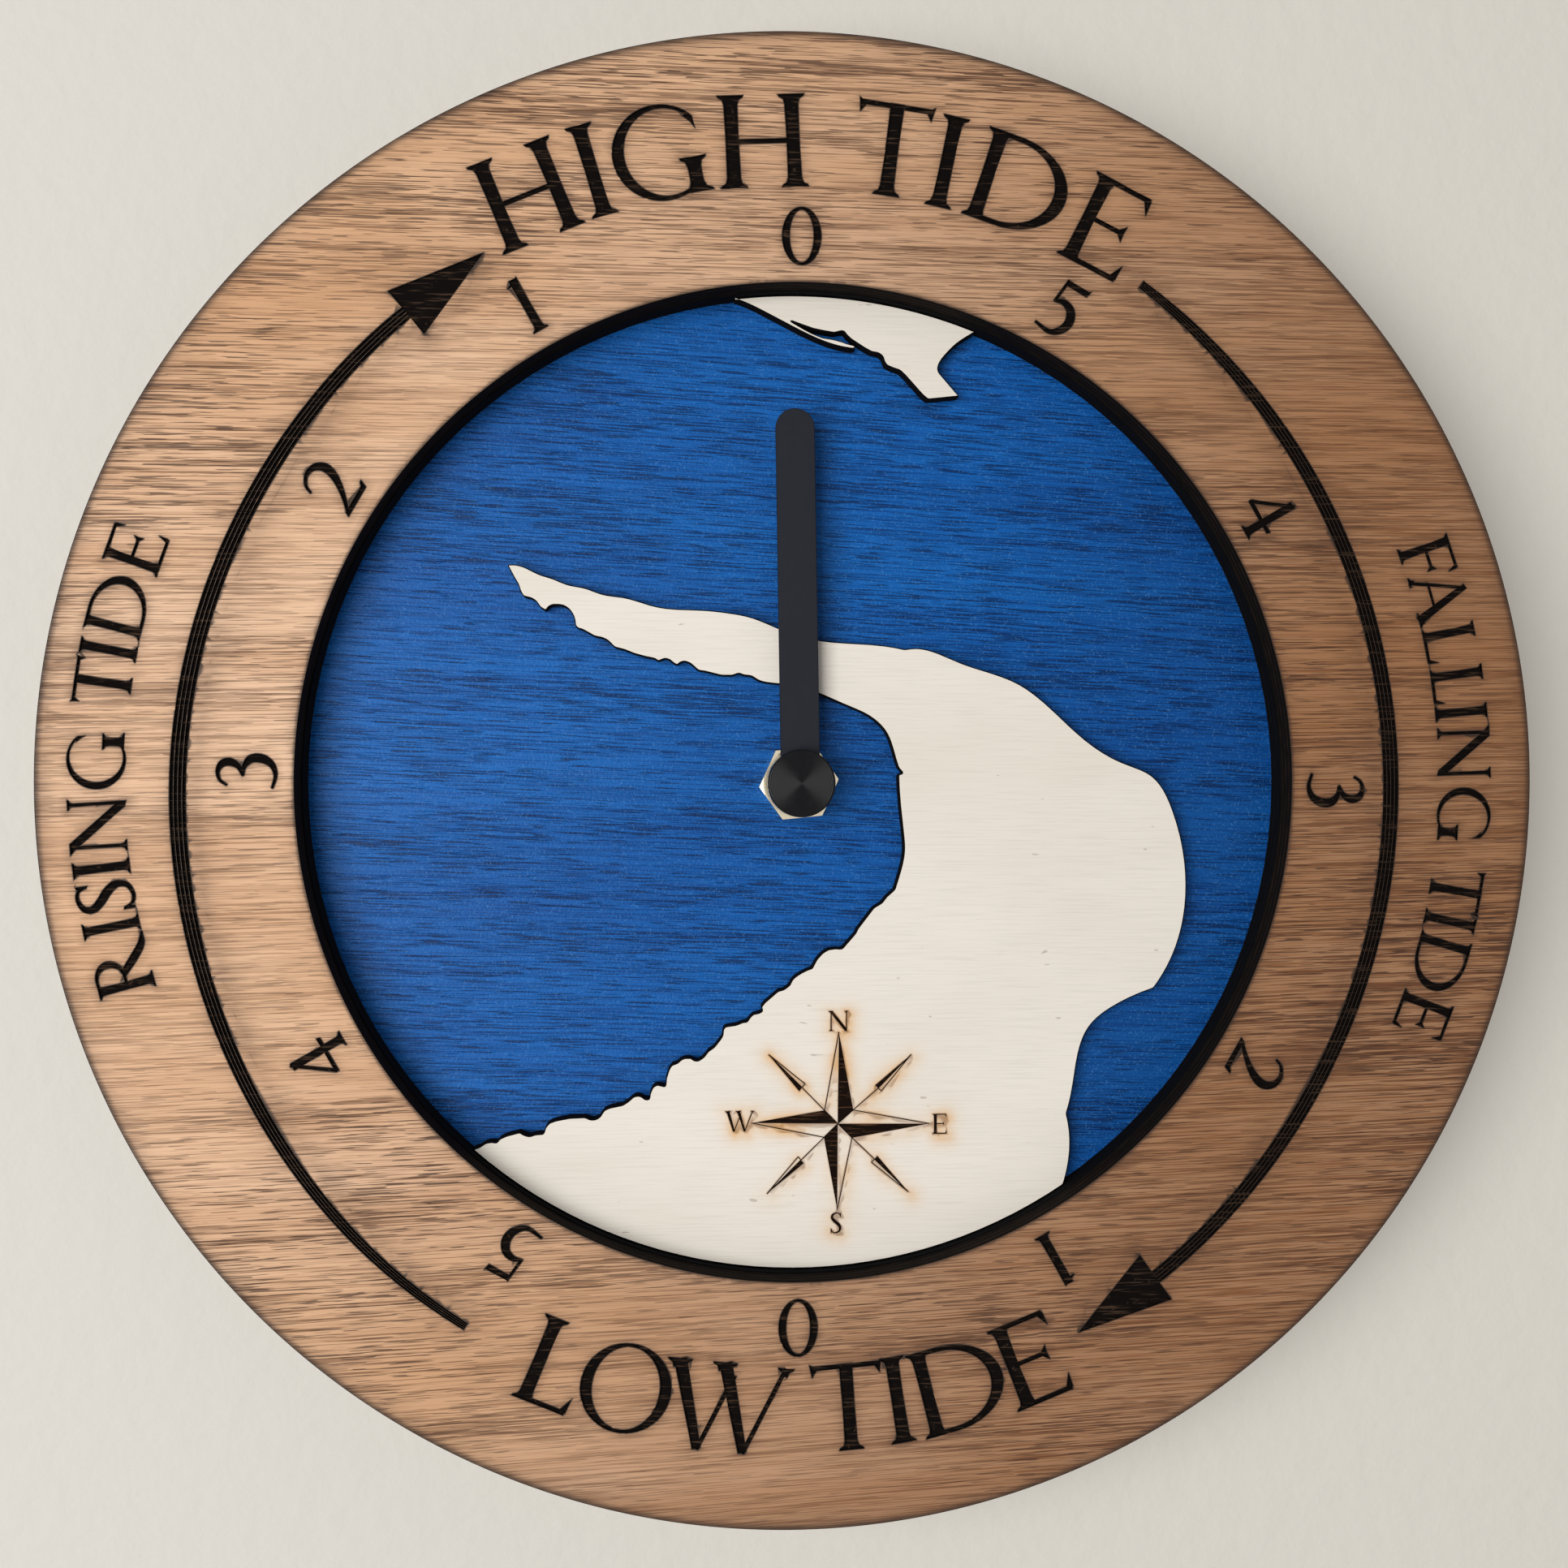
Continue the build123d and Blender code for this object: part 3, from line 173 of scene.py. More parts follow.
def glyph(letter):
    """Marks and width of one letter or figure."""
    if letter == "I":
        return whole(stem(0.14)), 0.28
    if letter == "H":
        cross = [np.array([(0.15, 0.475), (0.81, 0.475), (0.81, 0.525), (0.15, 0.525)])]
        return whole(stem(0.15) + stem(0.81) + cross), 0.96
    if letter == "T":
        top = [np.array([(0.02, 0.945), (0.79, 0.945), (0.79, 0.997), (0.02, 0.997)])]
        top.append(np.array([(-0.012, 1.02), (0.015, 1.0), (0.085, 0.97), (0.01, 0.865)]))
        top.append(np.array([(0.822, 1.02), (0.795, 1.0), (0.725, 0.97), (0.79, 0.865)]))
        return whole(stem(0.405, top=False) + top), 0.81
    if letter in "EF":
        marks = stem(0.15) + arm(0.15, 0.68, 0.947, (-0.16,)) + arm(0.15, 0.56, 0.49, (0.09, -0.09))
        if letter == "E":
            marks += arm(0.15, 0.7, 0.0, (0.17,))
        return whole(marks), 0.72 if letter == "E" else 0.7
    if letter == "L":
        return whole(stem(0.15) + arm(0.15, 0.64, 0.0, (0.18,))), 0.66
    if letter == "D":
        outer = np.vstack([[(0.12, 0.0)], oval((0.38, 0.5), 0.67, 0.5, -90, 90), [(0.12, 1.0)]])
        inner = np.vstack([[(0.2, 0.05)], oval((0.38, 0.5), 0.53, 0.45, -90, 90), [(0.2, 0.95)]])
        return whole(stem(0.15)) + [(outer, (inner,))], 1.05
    if letter == "O":
        outer = oval((0.52, 0.5), 0.52, 0.515, tilt=8)
        return [(outer, (oval((0.52, 0.5), 0.39, 0.478, tilt=8),))], 1.04
    if letter == "G":
        bowl = np.vstack(
            [oval((0.53, 0.5), 0.53, 0.515, 43, 305), oval((0.57, 0.5), 0.445, 0.472, 310, 48)]
        )
        beak = np.array([(0.885, 0.872), (0.93, 0.83), (0.94, 0.7), (0.905, 0.77), (0.83, 0.85)])
        post = stem(0.85, low=0.02, high=0.4, top=False, bottom=False)
        return whole([bowl, beak, *post, foot(0.85, 0.4, -1), foot(0.85, 0.02, 1, right=0.09)]), 1.0
    if letter == "W":
        marks = [bar((0.14, 1.0), (0.44, -0.01), 0.15, 0.1), bar((0.44, -0.02), (0.78, 0.86), 0.05)]
        marks += [bar((0.66, 1.0), (0.97, -0.01), 0.15, 0.1), bar((0.97, -0.02), (1.36, 1.0), 0.05)]
        marks += [foot(x, 1.0, -1, width) for x, width in ((0.14, 0.14), (0.66, 0.14), (1.36, 0.05))]
        return whole(marks), 1.46
    if letter == "R":
        bowl = np.vstack([[(0.12, 0.46)], oval((0.33, 0.73), 0.32, 0.27, -90, 90), [(0.12, 1.0)]])
        hole = np.vstack([[(0.2, 0.51)], oval((0.33, 0.73), 0.2, 0.22, -90, 90), [(0.2, 0.95)]])
        leg = stroke([(0.36, 0.5, 0.12), (0.58, 0.26, 0.14), (0.8, 0.06, 0.12), (1.02, -0.01, 0.03)])
        return whole(stem(0.15) + [leg]) + [(bowl, (hole,))], 1.0
    if letter == "S":
        rows = [(0.52, 0.83, 0.04), (0.45, 0.96, 0.055), (0.3, 0.985, 0.07), (0.14, 0.9, 0.1)]
        rows += [(0.11, 0.75, 0.13), (0.22, 0.6, 0.15), (0.4, 0.44, 0.155), (0.5, 0.27, 0.13)]
        rows += [(0.45, 0.09, 0.09), (0.28, 0.01, 0.065), (0.13, 0.05, 0.055), (0.05, 0.2, 0.04)]
        wedges = [np.array([(0.49, 0.98), (0.545, 1.0), (0.54, 0.78), (0.5, 0.8)])]
        wedges.append(np.array([(0.03, 0.0), (0.08, 0.02), (0.075, 0.2), (0.03, 0.22)]))
        return whole([stroke(rows), *wedges]), 0.6
    if letter == "N":
        marks = stem(0.17, 0.06, top=False) + stem(0.93, 0.06, low=0.0, bottom=False)
        marks.append(
            np.array([(0.03, 1.0), (0.24, 1.0), (0.96, 0.1), (0.96, -0.03), (0.86, 0.0), (0.14, 0.9)])
        )
        return whole(marks), 1.06
    if letter == "A":
        marks = [bar((0.12, 0.0), (0.47, 1.0), 0.055), bar((0.45, 1.03), (0.85, 0.0), 0.1, 0.16)]
        marks += [np.array([(0.2, 0.33), (0.72, 0.33), (0.7, 0.378), (0.22, 0.378)])]
        marks += [foot(0.12, 0.0, 1, 0.05), foot(0.85, 0.0, 1, 0.15)]
        return whole(marks), 0.98
    if letter == "0":
        return [(oval((0.345, 0.5), 0.345, 0.51), (oval((0.345, 0.5), 0.215, 0.465),))], 0.69
    if letter == "1":
        flag = np.array([(0.0, 0.9), (0.02, 0.885), (0.12, 0.9), (0.24, 0.88), (0.24, 1.01)])
        return whole(stem(0.16, 0.155, top=False) + [flag]), 0.3
    if letter == "2":
        rows = [(0.05, 0.76, 0.035), (0.12, 0.9, 0.05), (0.3, 0.985, 0.075), (0.48, 0.92, 0.12)]
        rows += [(0.555, 0.74, 0.15), (0.47, 0.5, 0.12), (0.28, 0.25, 0.075), (0.06, 0.03, 0.05)]
        base = [(0.02, 0.0), (0.62, 0.0), (0.68, 0.14), (0.64, 0.135), (0.58, 0.085), (0.06, 0.085)]
        return whole([stroke(rows), np.array(base)]), 0.67
    if letter == "3":
        rows = [(0.08, 0.83, 0.035), (0.17, 0.95, 0.05), (0.32, 0.985, 0.07), (0.45, 0.91, 0.12)]
        rows += [(0.48, 0.77, 0.13), (0.4, 0.63, 0.09), (0.24, 0.555, 0.04)]
        low = [(0.24, 0.555, 0.035), (0.4, 0.535, 0.08), (0.53, 0.42, 0.14), (0.54, 0.24, 0.15)]
        low += [(0.44, 0.07, 0.11), (0.25, 0.0, 0.065), (0.02, 0.06, 0.04)]
        return whole([stroke(rows), stroke(low)]), 0.62
    if letter == "4":
        marks = stem(0.46, 0.14, top=False) + [bar((0.5, 1.02), (0.02, 0.37), 0.06)]
        marks.append(np.array([(0.0, 0.335), (0.66, 0.335), (0.68, 0.405), (0.0, 0.405)]))
        return whole(marks), 0.68
    if letter == "5":
        rows = [(0.13, 0.545, 0.04), (0.29, 0.6, 0.1), (0.46, 0.54, 0.14), (0.55, 0.36, 0.155)]
        rows += [(0.5, 0.16, 0.13), (0.32, 0.02, 0.08), (0.02, 0.05, 0.04)]
        top = np.array([(0.17, 0.99), (0.6, 0.99), (0.63, 1.015), (0.6, 0.885), (0.17, 0.885)])
        neck = bar((0.19, 0.99), (0.14, 0.54), 0.05)
        return whole([stroke(rows), top, neck]), 0.63
    raise ValueError(letter)


def placed(marks, at, turn, height, centre):
    """Marks scaled to a height and set with their foot at a point; turn is a clock angle."""
    c, s = math.cos(math.radians(turn)), math.sin(math.radians(turn))
    out = []
    for outline, holes in marks:
        moved = []
        for loop in (outline, *holes):
            x, y = ((np.asarray(loop, float) - [centre, 0.0]) * height).T
            moved.append(np.c_[at[0] + c * x + s * y, at[1] - s * x + c * y])
        out.append((moved[0], tuple(moved[1:])))
    return out


def word(letters, height, foot_r, path_at=(0.0, 0.0), inward=False):
    """Letters set one by one round the dial, as pairs of letter and clock angle of its middle."""
    marks = []
    for letter, degrees in letters:
        made, width = glyph(letter)
        middle = polar(degrees, foot_r)
        turn = math.degrees(math.atan2(middle[0] - path_at[0], middle[1] - path_at[1]))
        radius = foot_r - (path_at[1] * math.cos(math.radians(turn)))
        at = polar(turn, radius, path_at)
        marks += placed(made, at, turn + (180 if inward else 0), height, width / 2)
    return marks


# Words: height and radius of the letters' feet, then each letter with its clock angle
HIGH_HEIGHT, HIGH_FOOT_R = 15.6, 100.7
LOW_HEIGHT, LOW_FOOT_R = 14.8, 113.8
RISING_HEIGHT, RISING_FOOT_R = 9.3, 112.3
FALLING_HEIGHT, FALLING_FOOT_R = 9.2, 110.7
HIGH_PATH = (-0.5, -10.1)
FALLING_PATH = (0.0, 1.4)
HIGH_TIDE = (
    ("H", -25.35), ("I", -19.11), ("G", -12.93), ("H", -3.53),
    ("T", 8.14), ("I", 13.27), ("D", 20.24), ("E", 28.85),
)
LOW_TIDE = (
    ("L", 203.05), ("O", 196.25), ("W", 186.88),
    ("T", 175.68), ("I", 171.13), ("D", 165.35), ("E", 158.33),
)
RISING_TIDE = (
    ("R", -105.0), ("I", -101.7), ("S", -99.2), ("I", -96.86), ("N", -93.45), ("G", -88.16),
    ("T", -81.74), ("I", -79.07), ("D", -75.42), ("E", -70.62),
)
FALLING_TIDE = (
    ("F", 70.3), ("A", 73.6), ("L", 77.76), ("L", 81.4), ("I", 83.84), ("N", 87.28), ("G", 92.66),
    ("T", 99.28), ("I", 101.97), ("D", 105.71), ("E", 110.4),
)
# Figure, and how far it stands clockwise of its hour in millimetres
HOURS = (
    ("0", 0.0), ("5", -2.0), ("4", -0.2), ("3", 1.1), ("2", 3.0), ("1", 2.9),
    ("0", 0.6), ("5", 2.5), ("4", 0.5), ("3", 2.0), ("2", 3.7), ("1", 0.0),
)
HOUR_FOOT_R = 87.7
HOUR_HEIGHT = 9.6


def sweep(rows):
    """Tapered arc round the dial, as rows of clock angle, radius and width."""
    line = smooth(rows, 24)
    outer = [polar(a, r + w / 2) for a, r, w in line]
    inner = [polar(a, r - w / 2) for a, r, w in line]
    return np.array(outer + inner[::-1])


# Arc arrows, as rows of clock angle, radius and width
RISING_ARC = (
    (-148.2, 107.3, 1.3), (-136, 106.7, 1.8), (-110, 104.7, 2.5),
    (-90, 103.7, 2.8), (-62, 102.8, 2.7), (-39, 102.6, 2.4),
)
FALLING_ARC = (
    (34.3, 103.3, 1.4), (48, 102.6, 2.2), (70, 102.2, 2.6),
    (90, 102.2, 2.7), (118, 103.1, 2.6), (145.5, 104.7, 2.4),
)
ARROW_HEADS = [
    np.array([polar(-31.0, 103.5), polar(-40.1, 107.3), polar(-40.1, 98.0)]),
    np.array([polar(153.2, 105.6), polar(144.3, 99.9), polar(144.3, 109.4)]),
]


def passes(rows, count=4, kept=0.87):
    """Narrow cuts side by side that fill an arc and leave thin ridges between them."""
    cuts = []
    for k in range(count):
        aside = (k + 0.5) / count - 0.5
        cuts.append(sweep([(a, r + aside * w, w / count * kept) for a, r, w in rows]))
    return cuts


def ring_marks():
    """Everything burnt into the face ring."""
    marks = word(HIGH_TIDE, HIGH_HEIGHT, HIGH_FOOT_R, HIGH_PATH)
    marks += word(LOW_TIDE, LOW_HEIGHT, LOW_FOOT_R, inward=True)
    marks += word(RISING_TIDE, RISING_HEIGHT, RISING_FOOT_R)
    marks += word(FALLING_TIDE, FALLING_HEIGHT, FALLING_FOOT_R, FALLING_PATH)
    for hour, (figure, shift) in enumerate(HOURS):
        made, width = glyph(figure)
        turn = 30.0 * hour
        at = polar(turn + 90.0, shift, polar(turn, HOUR_FOOT_R))
        marks += placed(made, at, turn, HOUR_HEIGHT, width / 2)
    return marks + whole(passes(RISING_ARC) + passes(FALLING_ARC) + ARROW_HEADS)


# Wind rose: its middle, line width, letters, and points given from the middle
COMPASS_AT = (6.7, -59.1)
COMPASS_LINE = 0.17
COMPASS_LETTER_HEIGHT = 3.5
COMPASS_LETTERS = (
    ("N", (6.8, -43.0)), ("S", (6.4, -78.1)), ("W", (-10.3, -60.2)), ("E", (24.5, -61.1)),
)
COMPASS_TIPS = ((0.2, 15.9), (16.0, -0.2), (-0.1, -15.0), (-15.0, 0.3))
COMPASS_WAISTS = ((2.7, 2.35), (2.5, -2.5), (-2.4, -2.35), (-2.3, 2.35))
COMPASS_HEADS = (
    ((12.8, 11.9), (6.5, 6.6), (7.6, 5.6)), ((12.3, -12.0), (6.9, -5.7), (5.9, -6.8)),
    ((-12.3, -12.0), (-5.9, -6.8), (-6.9, -5.7)), ((-12.0, 12.1), (-6.7, 5.7), (-5.7, 7.0)),
)


def compass_marks():
    """Plain eight-point wind rose with its four letters."""
    marks, lines = [], []
    for k, tip in enumerate(COMPASS_TIPS):
        before = COMPASS_WAISTS[k - 1]
        marks.append(np.array([(0, 0), tip, COMPASS_WAISTS[k]]))
        lines += [(tip, before), (before, (0, 0))]
    for waist, (tip, dark, pale) in zip(COMPASS_WAISTS, COMPASS_HEADS):
        base = ((dark[0] + pale[0]) / 2, (dark[1] + pale[1]) / 2)
        marks.append(np.array([tip, dark, base]))
        lines += [(tip, pale), (pale, base), (base, tip), (waist, base)]
    marks += [bar(start, end, COMPASS_LINE) for start, end in lines]
    moved = whole([np.asarray(m, float) + COMPASS_AT for m in marks])
    for letter, at in COMPASS_LETTERS:
        made, width = glyph(letter)
        moved += placed(made, at, 0.0, COMPASS_LETTER_HEIGHT, width / 2)
    return moved


# Meshes
def inside(points, loop):
    """Which points lie inside a closed outline."""
    hit = np.zeros(len(points), bool)
    loop = np.asarray(loop, float)
    low, high = loop.min(0), loop.max(0)
    near = np.where(((points >= low) & (points <= high)).all(1))[0]
    if not len(near):
        return hit
    x, y = points[near, 0], points[near, 1]
    odd = np.zeros(len(near), bool)
    for (x0, y0), (x1, y1) in zip(loop, np.roll(loop, -1, 0)):
        if y0 != y1:
            cut = ((y0 > y) != (y1 > y)) & (x < (x1 - x0) * (y - y0) / (y1 - y0) + x0)
            odd ^= cut
    hit[near] = odd
    return hit


def covered(points, loops):
    """Which points lie on a board: inside its first loop and outside the others."""
    hit = inside(points, loops[0])
    for hole in loops[1:]:
        hit &= ~inside(points, hole)
    return hit


def within(points, marks):
    """Which points lie inside any of the marks."""
    hit = np.zeros(len(points), bool)
    for outline, holes in marks:
        hit |= covered(points, (outline, *holes))
    return hit


def triangles(loops, extra=()):
    """Flat triangles over closed loops and loose points, with the place of each given point."""
    points, edges = [], []
    for loop in loops:
        first = len(points)
        points += [Vector(p) for p in loop]
        edges += [(first + k, first + (k + 1) % len(loop)) for k in range(len(loop))]
    points += [Vector(p) for p in extra]
    flat, _, faces, origin, _, _ = delaunay_2d_cdt(points, edges, [], 0, 1e-6)
    place = {}
    for index, given in enumerate(origin):
        for one in given:
            place[one] = index
    faces = np.array([f for f in faces if len(f) == 3])
    flat = np.array([tuple(p) for p in flat])
    a, b, c = (flat[faces[:, k]] for k in range(3))
    area = (b[:, 0] - a[:, 0]) * (c[:, 1] - a[:, 1]) - (b[:, 1] - a[:, 1]) * (c[:, 0] - a[:, 0])
    faces[area < 0] = faces[area < 0][:, ::-1]
    return flat, faces[np.abs(area) > 1e-9], place


def inset(loop, by):
    """Loop moved towards the material on its left."""
    loop = np.asarray(loop, float)
    ahead, back = np.roll(loop, -1, 0) - loop, loop - np.roll(loop, 1, 0)
    ahead /= np.linalg.norm(ahead, axis=1)[:, None]
    back /= np.linalg.norm(back, axis=1)[:, None]
    along = ahead + back
    along /= np.maximum(np.linalg.norm(along, axis=1), 0.3)[:, None]
    return loop + by * np.c_[-along[:, 1], along[:, 0]]


def eased(loop, reach=0.32):
    """Loop with its corners rounded off over a short reach."""
    loop = np.asarray(loop, float)
    made = []
    for before, here, after in zip(np.roll(loop, 1, 0), loop, np.roll(loop, -1, 0)):
        back, ahead = before - here, after - here
        far_back, far_ahead = np.linalg.norm(back), np.linalg.norm(ahead)
        start = here + back * min(0.33, reach / far_back)
        end = here + ahead * min(0.33, reach / far_ahead)
        made += [start, (start + 2 * here + end) / 4, end]
    return np.array(made)


def turned(loop, counter_clockwise):
    """Loop in the wanted direction."""
    loop = np.asarray(loop, float)
    x, y = loop[:, 0], loop[:, 1]
    area = (x * np.roll(y, -1) - y * np.roll(x, -1)).sum()
    return loop if (area > 0) == counter_clockwise else loop[::-1]


def new_mesh(name, points, faces, materials, slots=None):
    """Mesh object from millimetre points."""
    mesh = bpy.data.meshes.new(name)
    mesh.from_pydata((np.asarray(points, float) * MM).tolist(), [], [list(map(int, f)) for f in faces])
    for material in materials:
        mesh.materials.append(material)
    if slots is not None:
        mesh.polygons.foreach_set("material_index", np.asarray(slots, np.int32))
    mesh.update()
    made = bpy.data.objects.new(name, mesh)
    bpy.context.scene.collection.objects.link(made)
    return made


def fade(points, lines, reach):
    """How close each flat point lies to any of the lines: 1 on a line, falling to 0."""
    dots = []
    for line in lines:
        ahead = np.roll(line, -1, 0)
        for p, q in zip(line, ahead):
            steps = max(1, int(np.linalg.norm(q - p) / 0.4))
            dots += [p + (q - p) * k / steps for k in range(steps)]
    tree = KDTree(len(dots))
    for index, dot in enumerate(dots):
        tree.insert((dot[0], dot[1], 0.0), index)
    tree.balance()
    away = np.array([tree.find((p[0], p[1], 0.0))[2] for p in points])
    return np.exp(-((away / reach) ** 1.2))


def loose_grid(loop, spacing):
    """Staggered rows of points over the box round a loop."""
    low, high = loop.min(0), loop.max(0)
    rows = []
    for k, y in enumerate(np.arange(low[1], high[1], spacing * ROW_STEP)):
        x = np.arange(low[0] + (k % 2) * spacing / 2, high[0], spacing)
        rows.append(np.c_[x, np.full(len(x), y)])
    return np.vstack(rows)


def mark_walls(faces, sunk, count):
    """Upright walls between the front and the floors of the marks."""
    side = {}
    for f, deep in zip(faces, sunk):
        for a, b in ((f[0], f[1]), (f[1], f[2]), (f[2], f[0])):
            side[(int(a), int(b))] = deep
    edges = [(a, b) for (a, b), deep in side.items() if not deep and side.get((b, a))]
    return [(b, a, a + count, b + count) for a, b in edges]


def back_faces(edges, starts):
    """Flat back over closed edges whose points begin at the given places."""
    flat, faces, place = triangles(edges)
    where, first = {}, 0
    for edge, start in zip(edges, starts):
        where.update({place[first + k]: start + k for k in range(len(edge))})
        first += len(edge)
    solid = covered(flat[faces].mean(1), edges)
    return [tuple(where[int(v)] for v in f[::-1]) for f in faces[solid]]


def board(
    name, loops, marks, front, back, depth, bevel, spacing, materials, burn=2.2, rim=(2.5,), drift=None
):
    """Flat cut board with marks sunk into its front.  Materials: face, cut edge, burnt mark, back.

    Smoke reaches as far as burn from a mark and rim from each outline.  Drift is a second cloud:
    how flat points are shifted, the outlines it starts from, its reach and its strength."""
    loops = [turned(loop, k == 0) for k, loop in enumerate(loops)]
    rims = [inset(loop, bevel) for loop in loops]
    mark_loops = [loop for outline, holes in marks for loop in (outline, *holes)]
    grid = loose_grid(rims[0], spacing)
    flat, faces, place = triangles([*rims, *mark_loops], grid[covered(grid, rims)])
    faces = faces[covered(flat[faces].mean(1), rims)]
    sunk = within(flat[faces].mean(1), marks)
    count = len(flat)
    points = [(x, front, z) for x, z in flat] + [(x, front + depth, z) for x, z in flat]
    polygons = [tuple(f + count if deep else f) for f, deep in zip(faces, sunk)]
    slots = [2 if deep else 0 for deep in sunk]
    walls = mark_walls(faces, sunk, count)
    polygons += walls
    slots += [2] * len(walls)
    first, starts = 0, []
    for edge in loops:
        n = len(edge)
        top = [place[first + k] for k in range(n)]
        first += n
        mid = len(points)
        starts.append(mid + n)
        points += [(x, front + bevel, z) for x, z in edge]
        points += [(x, back, z) for x, z in edge]
        for k in range(n):
            j = (k + 1) % n
            polygons.append((top[j], top[k], mid + k, mid + j))
            polygons.append((mid + j, mid + k, mid + n + k, mid + n + j))
        slots += [1] * (2 * n)
    under = back_faces(loops, starts)
    polygons += under
    slots += [3] * len(under)
    made = new_mesh(name, points, polygons, materials, slots)
    near_mark = np.zeros(len(points))
    near_rim = np.zeros(len(points))
    if mark_loops:
        near_mark[:count] = fade(flat, mark_loops, burn)
        if drift:
            shift, sources, reach, strength = drift
            cloud = strength * fade(shift(flat), sources, reach)
            near_mark[:count] = np.maximum(near_mark[:count], cloud)
        near_mark[count : 2 * count] = 1.0
    for loop, reach in zip(rims, rim):
        near_rim[:count] = np.maximum(near_rim[:count], fade(flat, [loop], reach))
    near_rim[2 * count :] = 1.0
    for label, values in (("burn", near_mark), ("rim", near_rim)):
        attribute = made.data.attributes.new(label, "FLOAT", "POINT")
        attribute.data.foreach_set("value", values.astype(np.float32))
    drop_loose(made)
    return made


def drop_loose(made):
    """Removes points that no face uses."""
    work = bmesh.new()
    work.from_mesh(made.data)
    bmesh.ops.delete(work, geom=[v for v in work.verts if not v.link_faces], context="VERTS")
    work.to_mesh(made.data)
    work.free()


def lathe(name, profile, material, count=96):
    """Turned piece about the hand's axis, from rows of radius and depth that end on the axis."""
    points, rows, polygons = [], [], []
    for radius, depth in profile:
        ring = circle(radius, count) if radius > 0 else [(0.0, 0.0)]
        rows.append(range(len(points), len(points) + len(ring)))
        points += [(x, depth, z) for x, z in ring]
    for a, b in zip(rows, rows[1:]):
        for k in range(count):
            j = (k + 1) % count
            polygons.append((a[j], a[k], b[0]) if len(b) == 1 else (a[j], a[k], b[k], b[j]))
    return new_mesh(name, points, polygons, [material])


def groove_tree():
    """Node tree of a turned face: a sheet rolled round the hand's axis with even grooves."""
    tree = bpy.data.node_groups.new("turned_grooves", "GeometryNodeTree")
    for label in ("Radius", "Front", "Groove Count", "Groove Depth", "Segments"):
        tree.interface.new_socket(label, in_out="INPUT", socket_type="NodeSocketFloat")
    tree.interface.new_socket("Material", in_out="INPUT", socket_type="NodeSocketMaterial")
    tree.interface.new_socket("Geometry", in_out="OUTPUT", socket_type="NodeSocketGeometry")
    n = Nodes(tree)
    inlet = n.node("NodeGroupInput").outputs
    count = inlet["Groove Count"]
    steps = n.math("ADD", n.math("MULTIPLY", count, STEPS_PER_GROOVE), 1.0)
    slices = n.math("ADD", inlet["Segments"], 1.0)
    sheet = n.node(
        "GeometryNodeMeshGrid",
        {"Size X": 1.0, "Size Y": 1.0, "Vertices X": steps, "Vertices Y": slices},
    )
    spot = n.node("GeometryNodeInputPosition").outputs[0]
    across, around, _ = n.node("ShaderNodeSeparateXYZ", {0: spot}).outputs
    share = n.math("ADD", across, 0.5)
    turn = n.math("MULTIPLY", n.math("ADD", around, 0.5), 2 * math.pi)
    reach = n.math("MULTIPLY", share, inlet["Radius"])
    phase = n.math("MULTIPLY", n.math("MULTIPLY", share, count), 2 * math.pi)
    half_depth = n.math("MULTIPLY", inlet["Groove Depth"], 0.5)
    drop = n.math("MULTIPLY", n.math("SUBTRACT", 1.0, n.math("COSINE", phase)), half_depth)
    x = n.math("MULTIPLY", reach, n.math("COSINE", turn))
    y = n.math("ADD", inlet["Front"], drop)
    z = n.math("MULTIPLY", reach, n.math("SINE", turn))
    rolled = n.node("ShaderNodeCombineXYZ", {0: x, 1: y, 2: z}).outputs[0]
    made = n.node("GeometryNodeSetPosition", {"Geometry": sheet.outputs["Mesh"], "Position": rolled})
    made = n.node("GeometryNodeMergeByDistance", {"Geometry": made.outputs[0], "Distance": SEAM})
    made = n.node("GeometryNodeRealizeInstances", {0: made.outputs[0]})
    made = n.node("GeometryNodeSetMaterial", {"Geometry": made.outputs[0], "Material": inlet["Material"]})
    n.node("NodeGroupOutput", {0: made.outputs[0]})
    return tree


def grown(name, tree, **values):
    """Plain mesh of what a node tree makes with the given inputs."""
    seed = bpy.data.objects.new(name, bpy.data.meshes.new(name))
    bpy.context.scene.collection.objects.link(seed)
    modifier = seed.modifiers.new(name, "NODES")
    modifier.node_group = tree
    for item in tree.interface.items_tree:
        if item.in_out == "INPUT":
            modifier[item.identifier] = values[item.name.replace(" ", "_")]
    ready = seed.evaluated_get(bpy.context.evaluated_depsgraph_get())
    mesh = bpy.data.meshes.new_from_object(ready)
    bpy.data.objects.remove(seed)
    return mesh


def welded(made, *meshes):
    """Adds meshes to a piece, joins the points that meet and turns the faces outwards."""
    work = bmesh.new()
    work.from_mesh(made.data)
    for mesh in meshes:
        work.from_mesh(mesh)
    bmesh.ops.remove_doubles(work, verts=work.verts, dist=2 * SEAM)
    bmesh.ops.recalc_face_normals(work, faces=work.faces)
    for face in work.faces:
        face.smooth = True
    work.to_mesh(made.data)
    work.free()


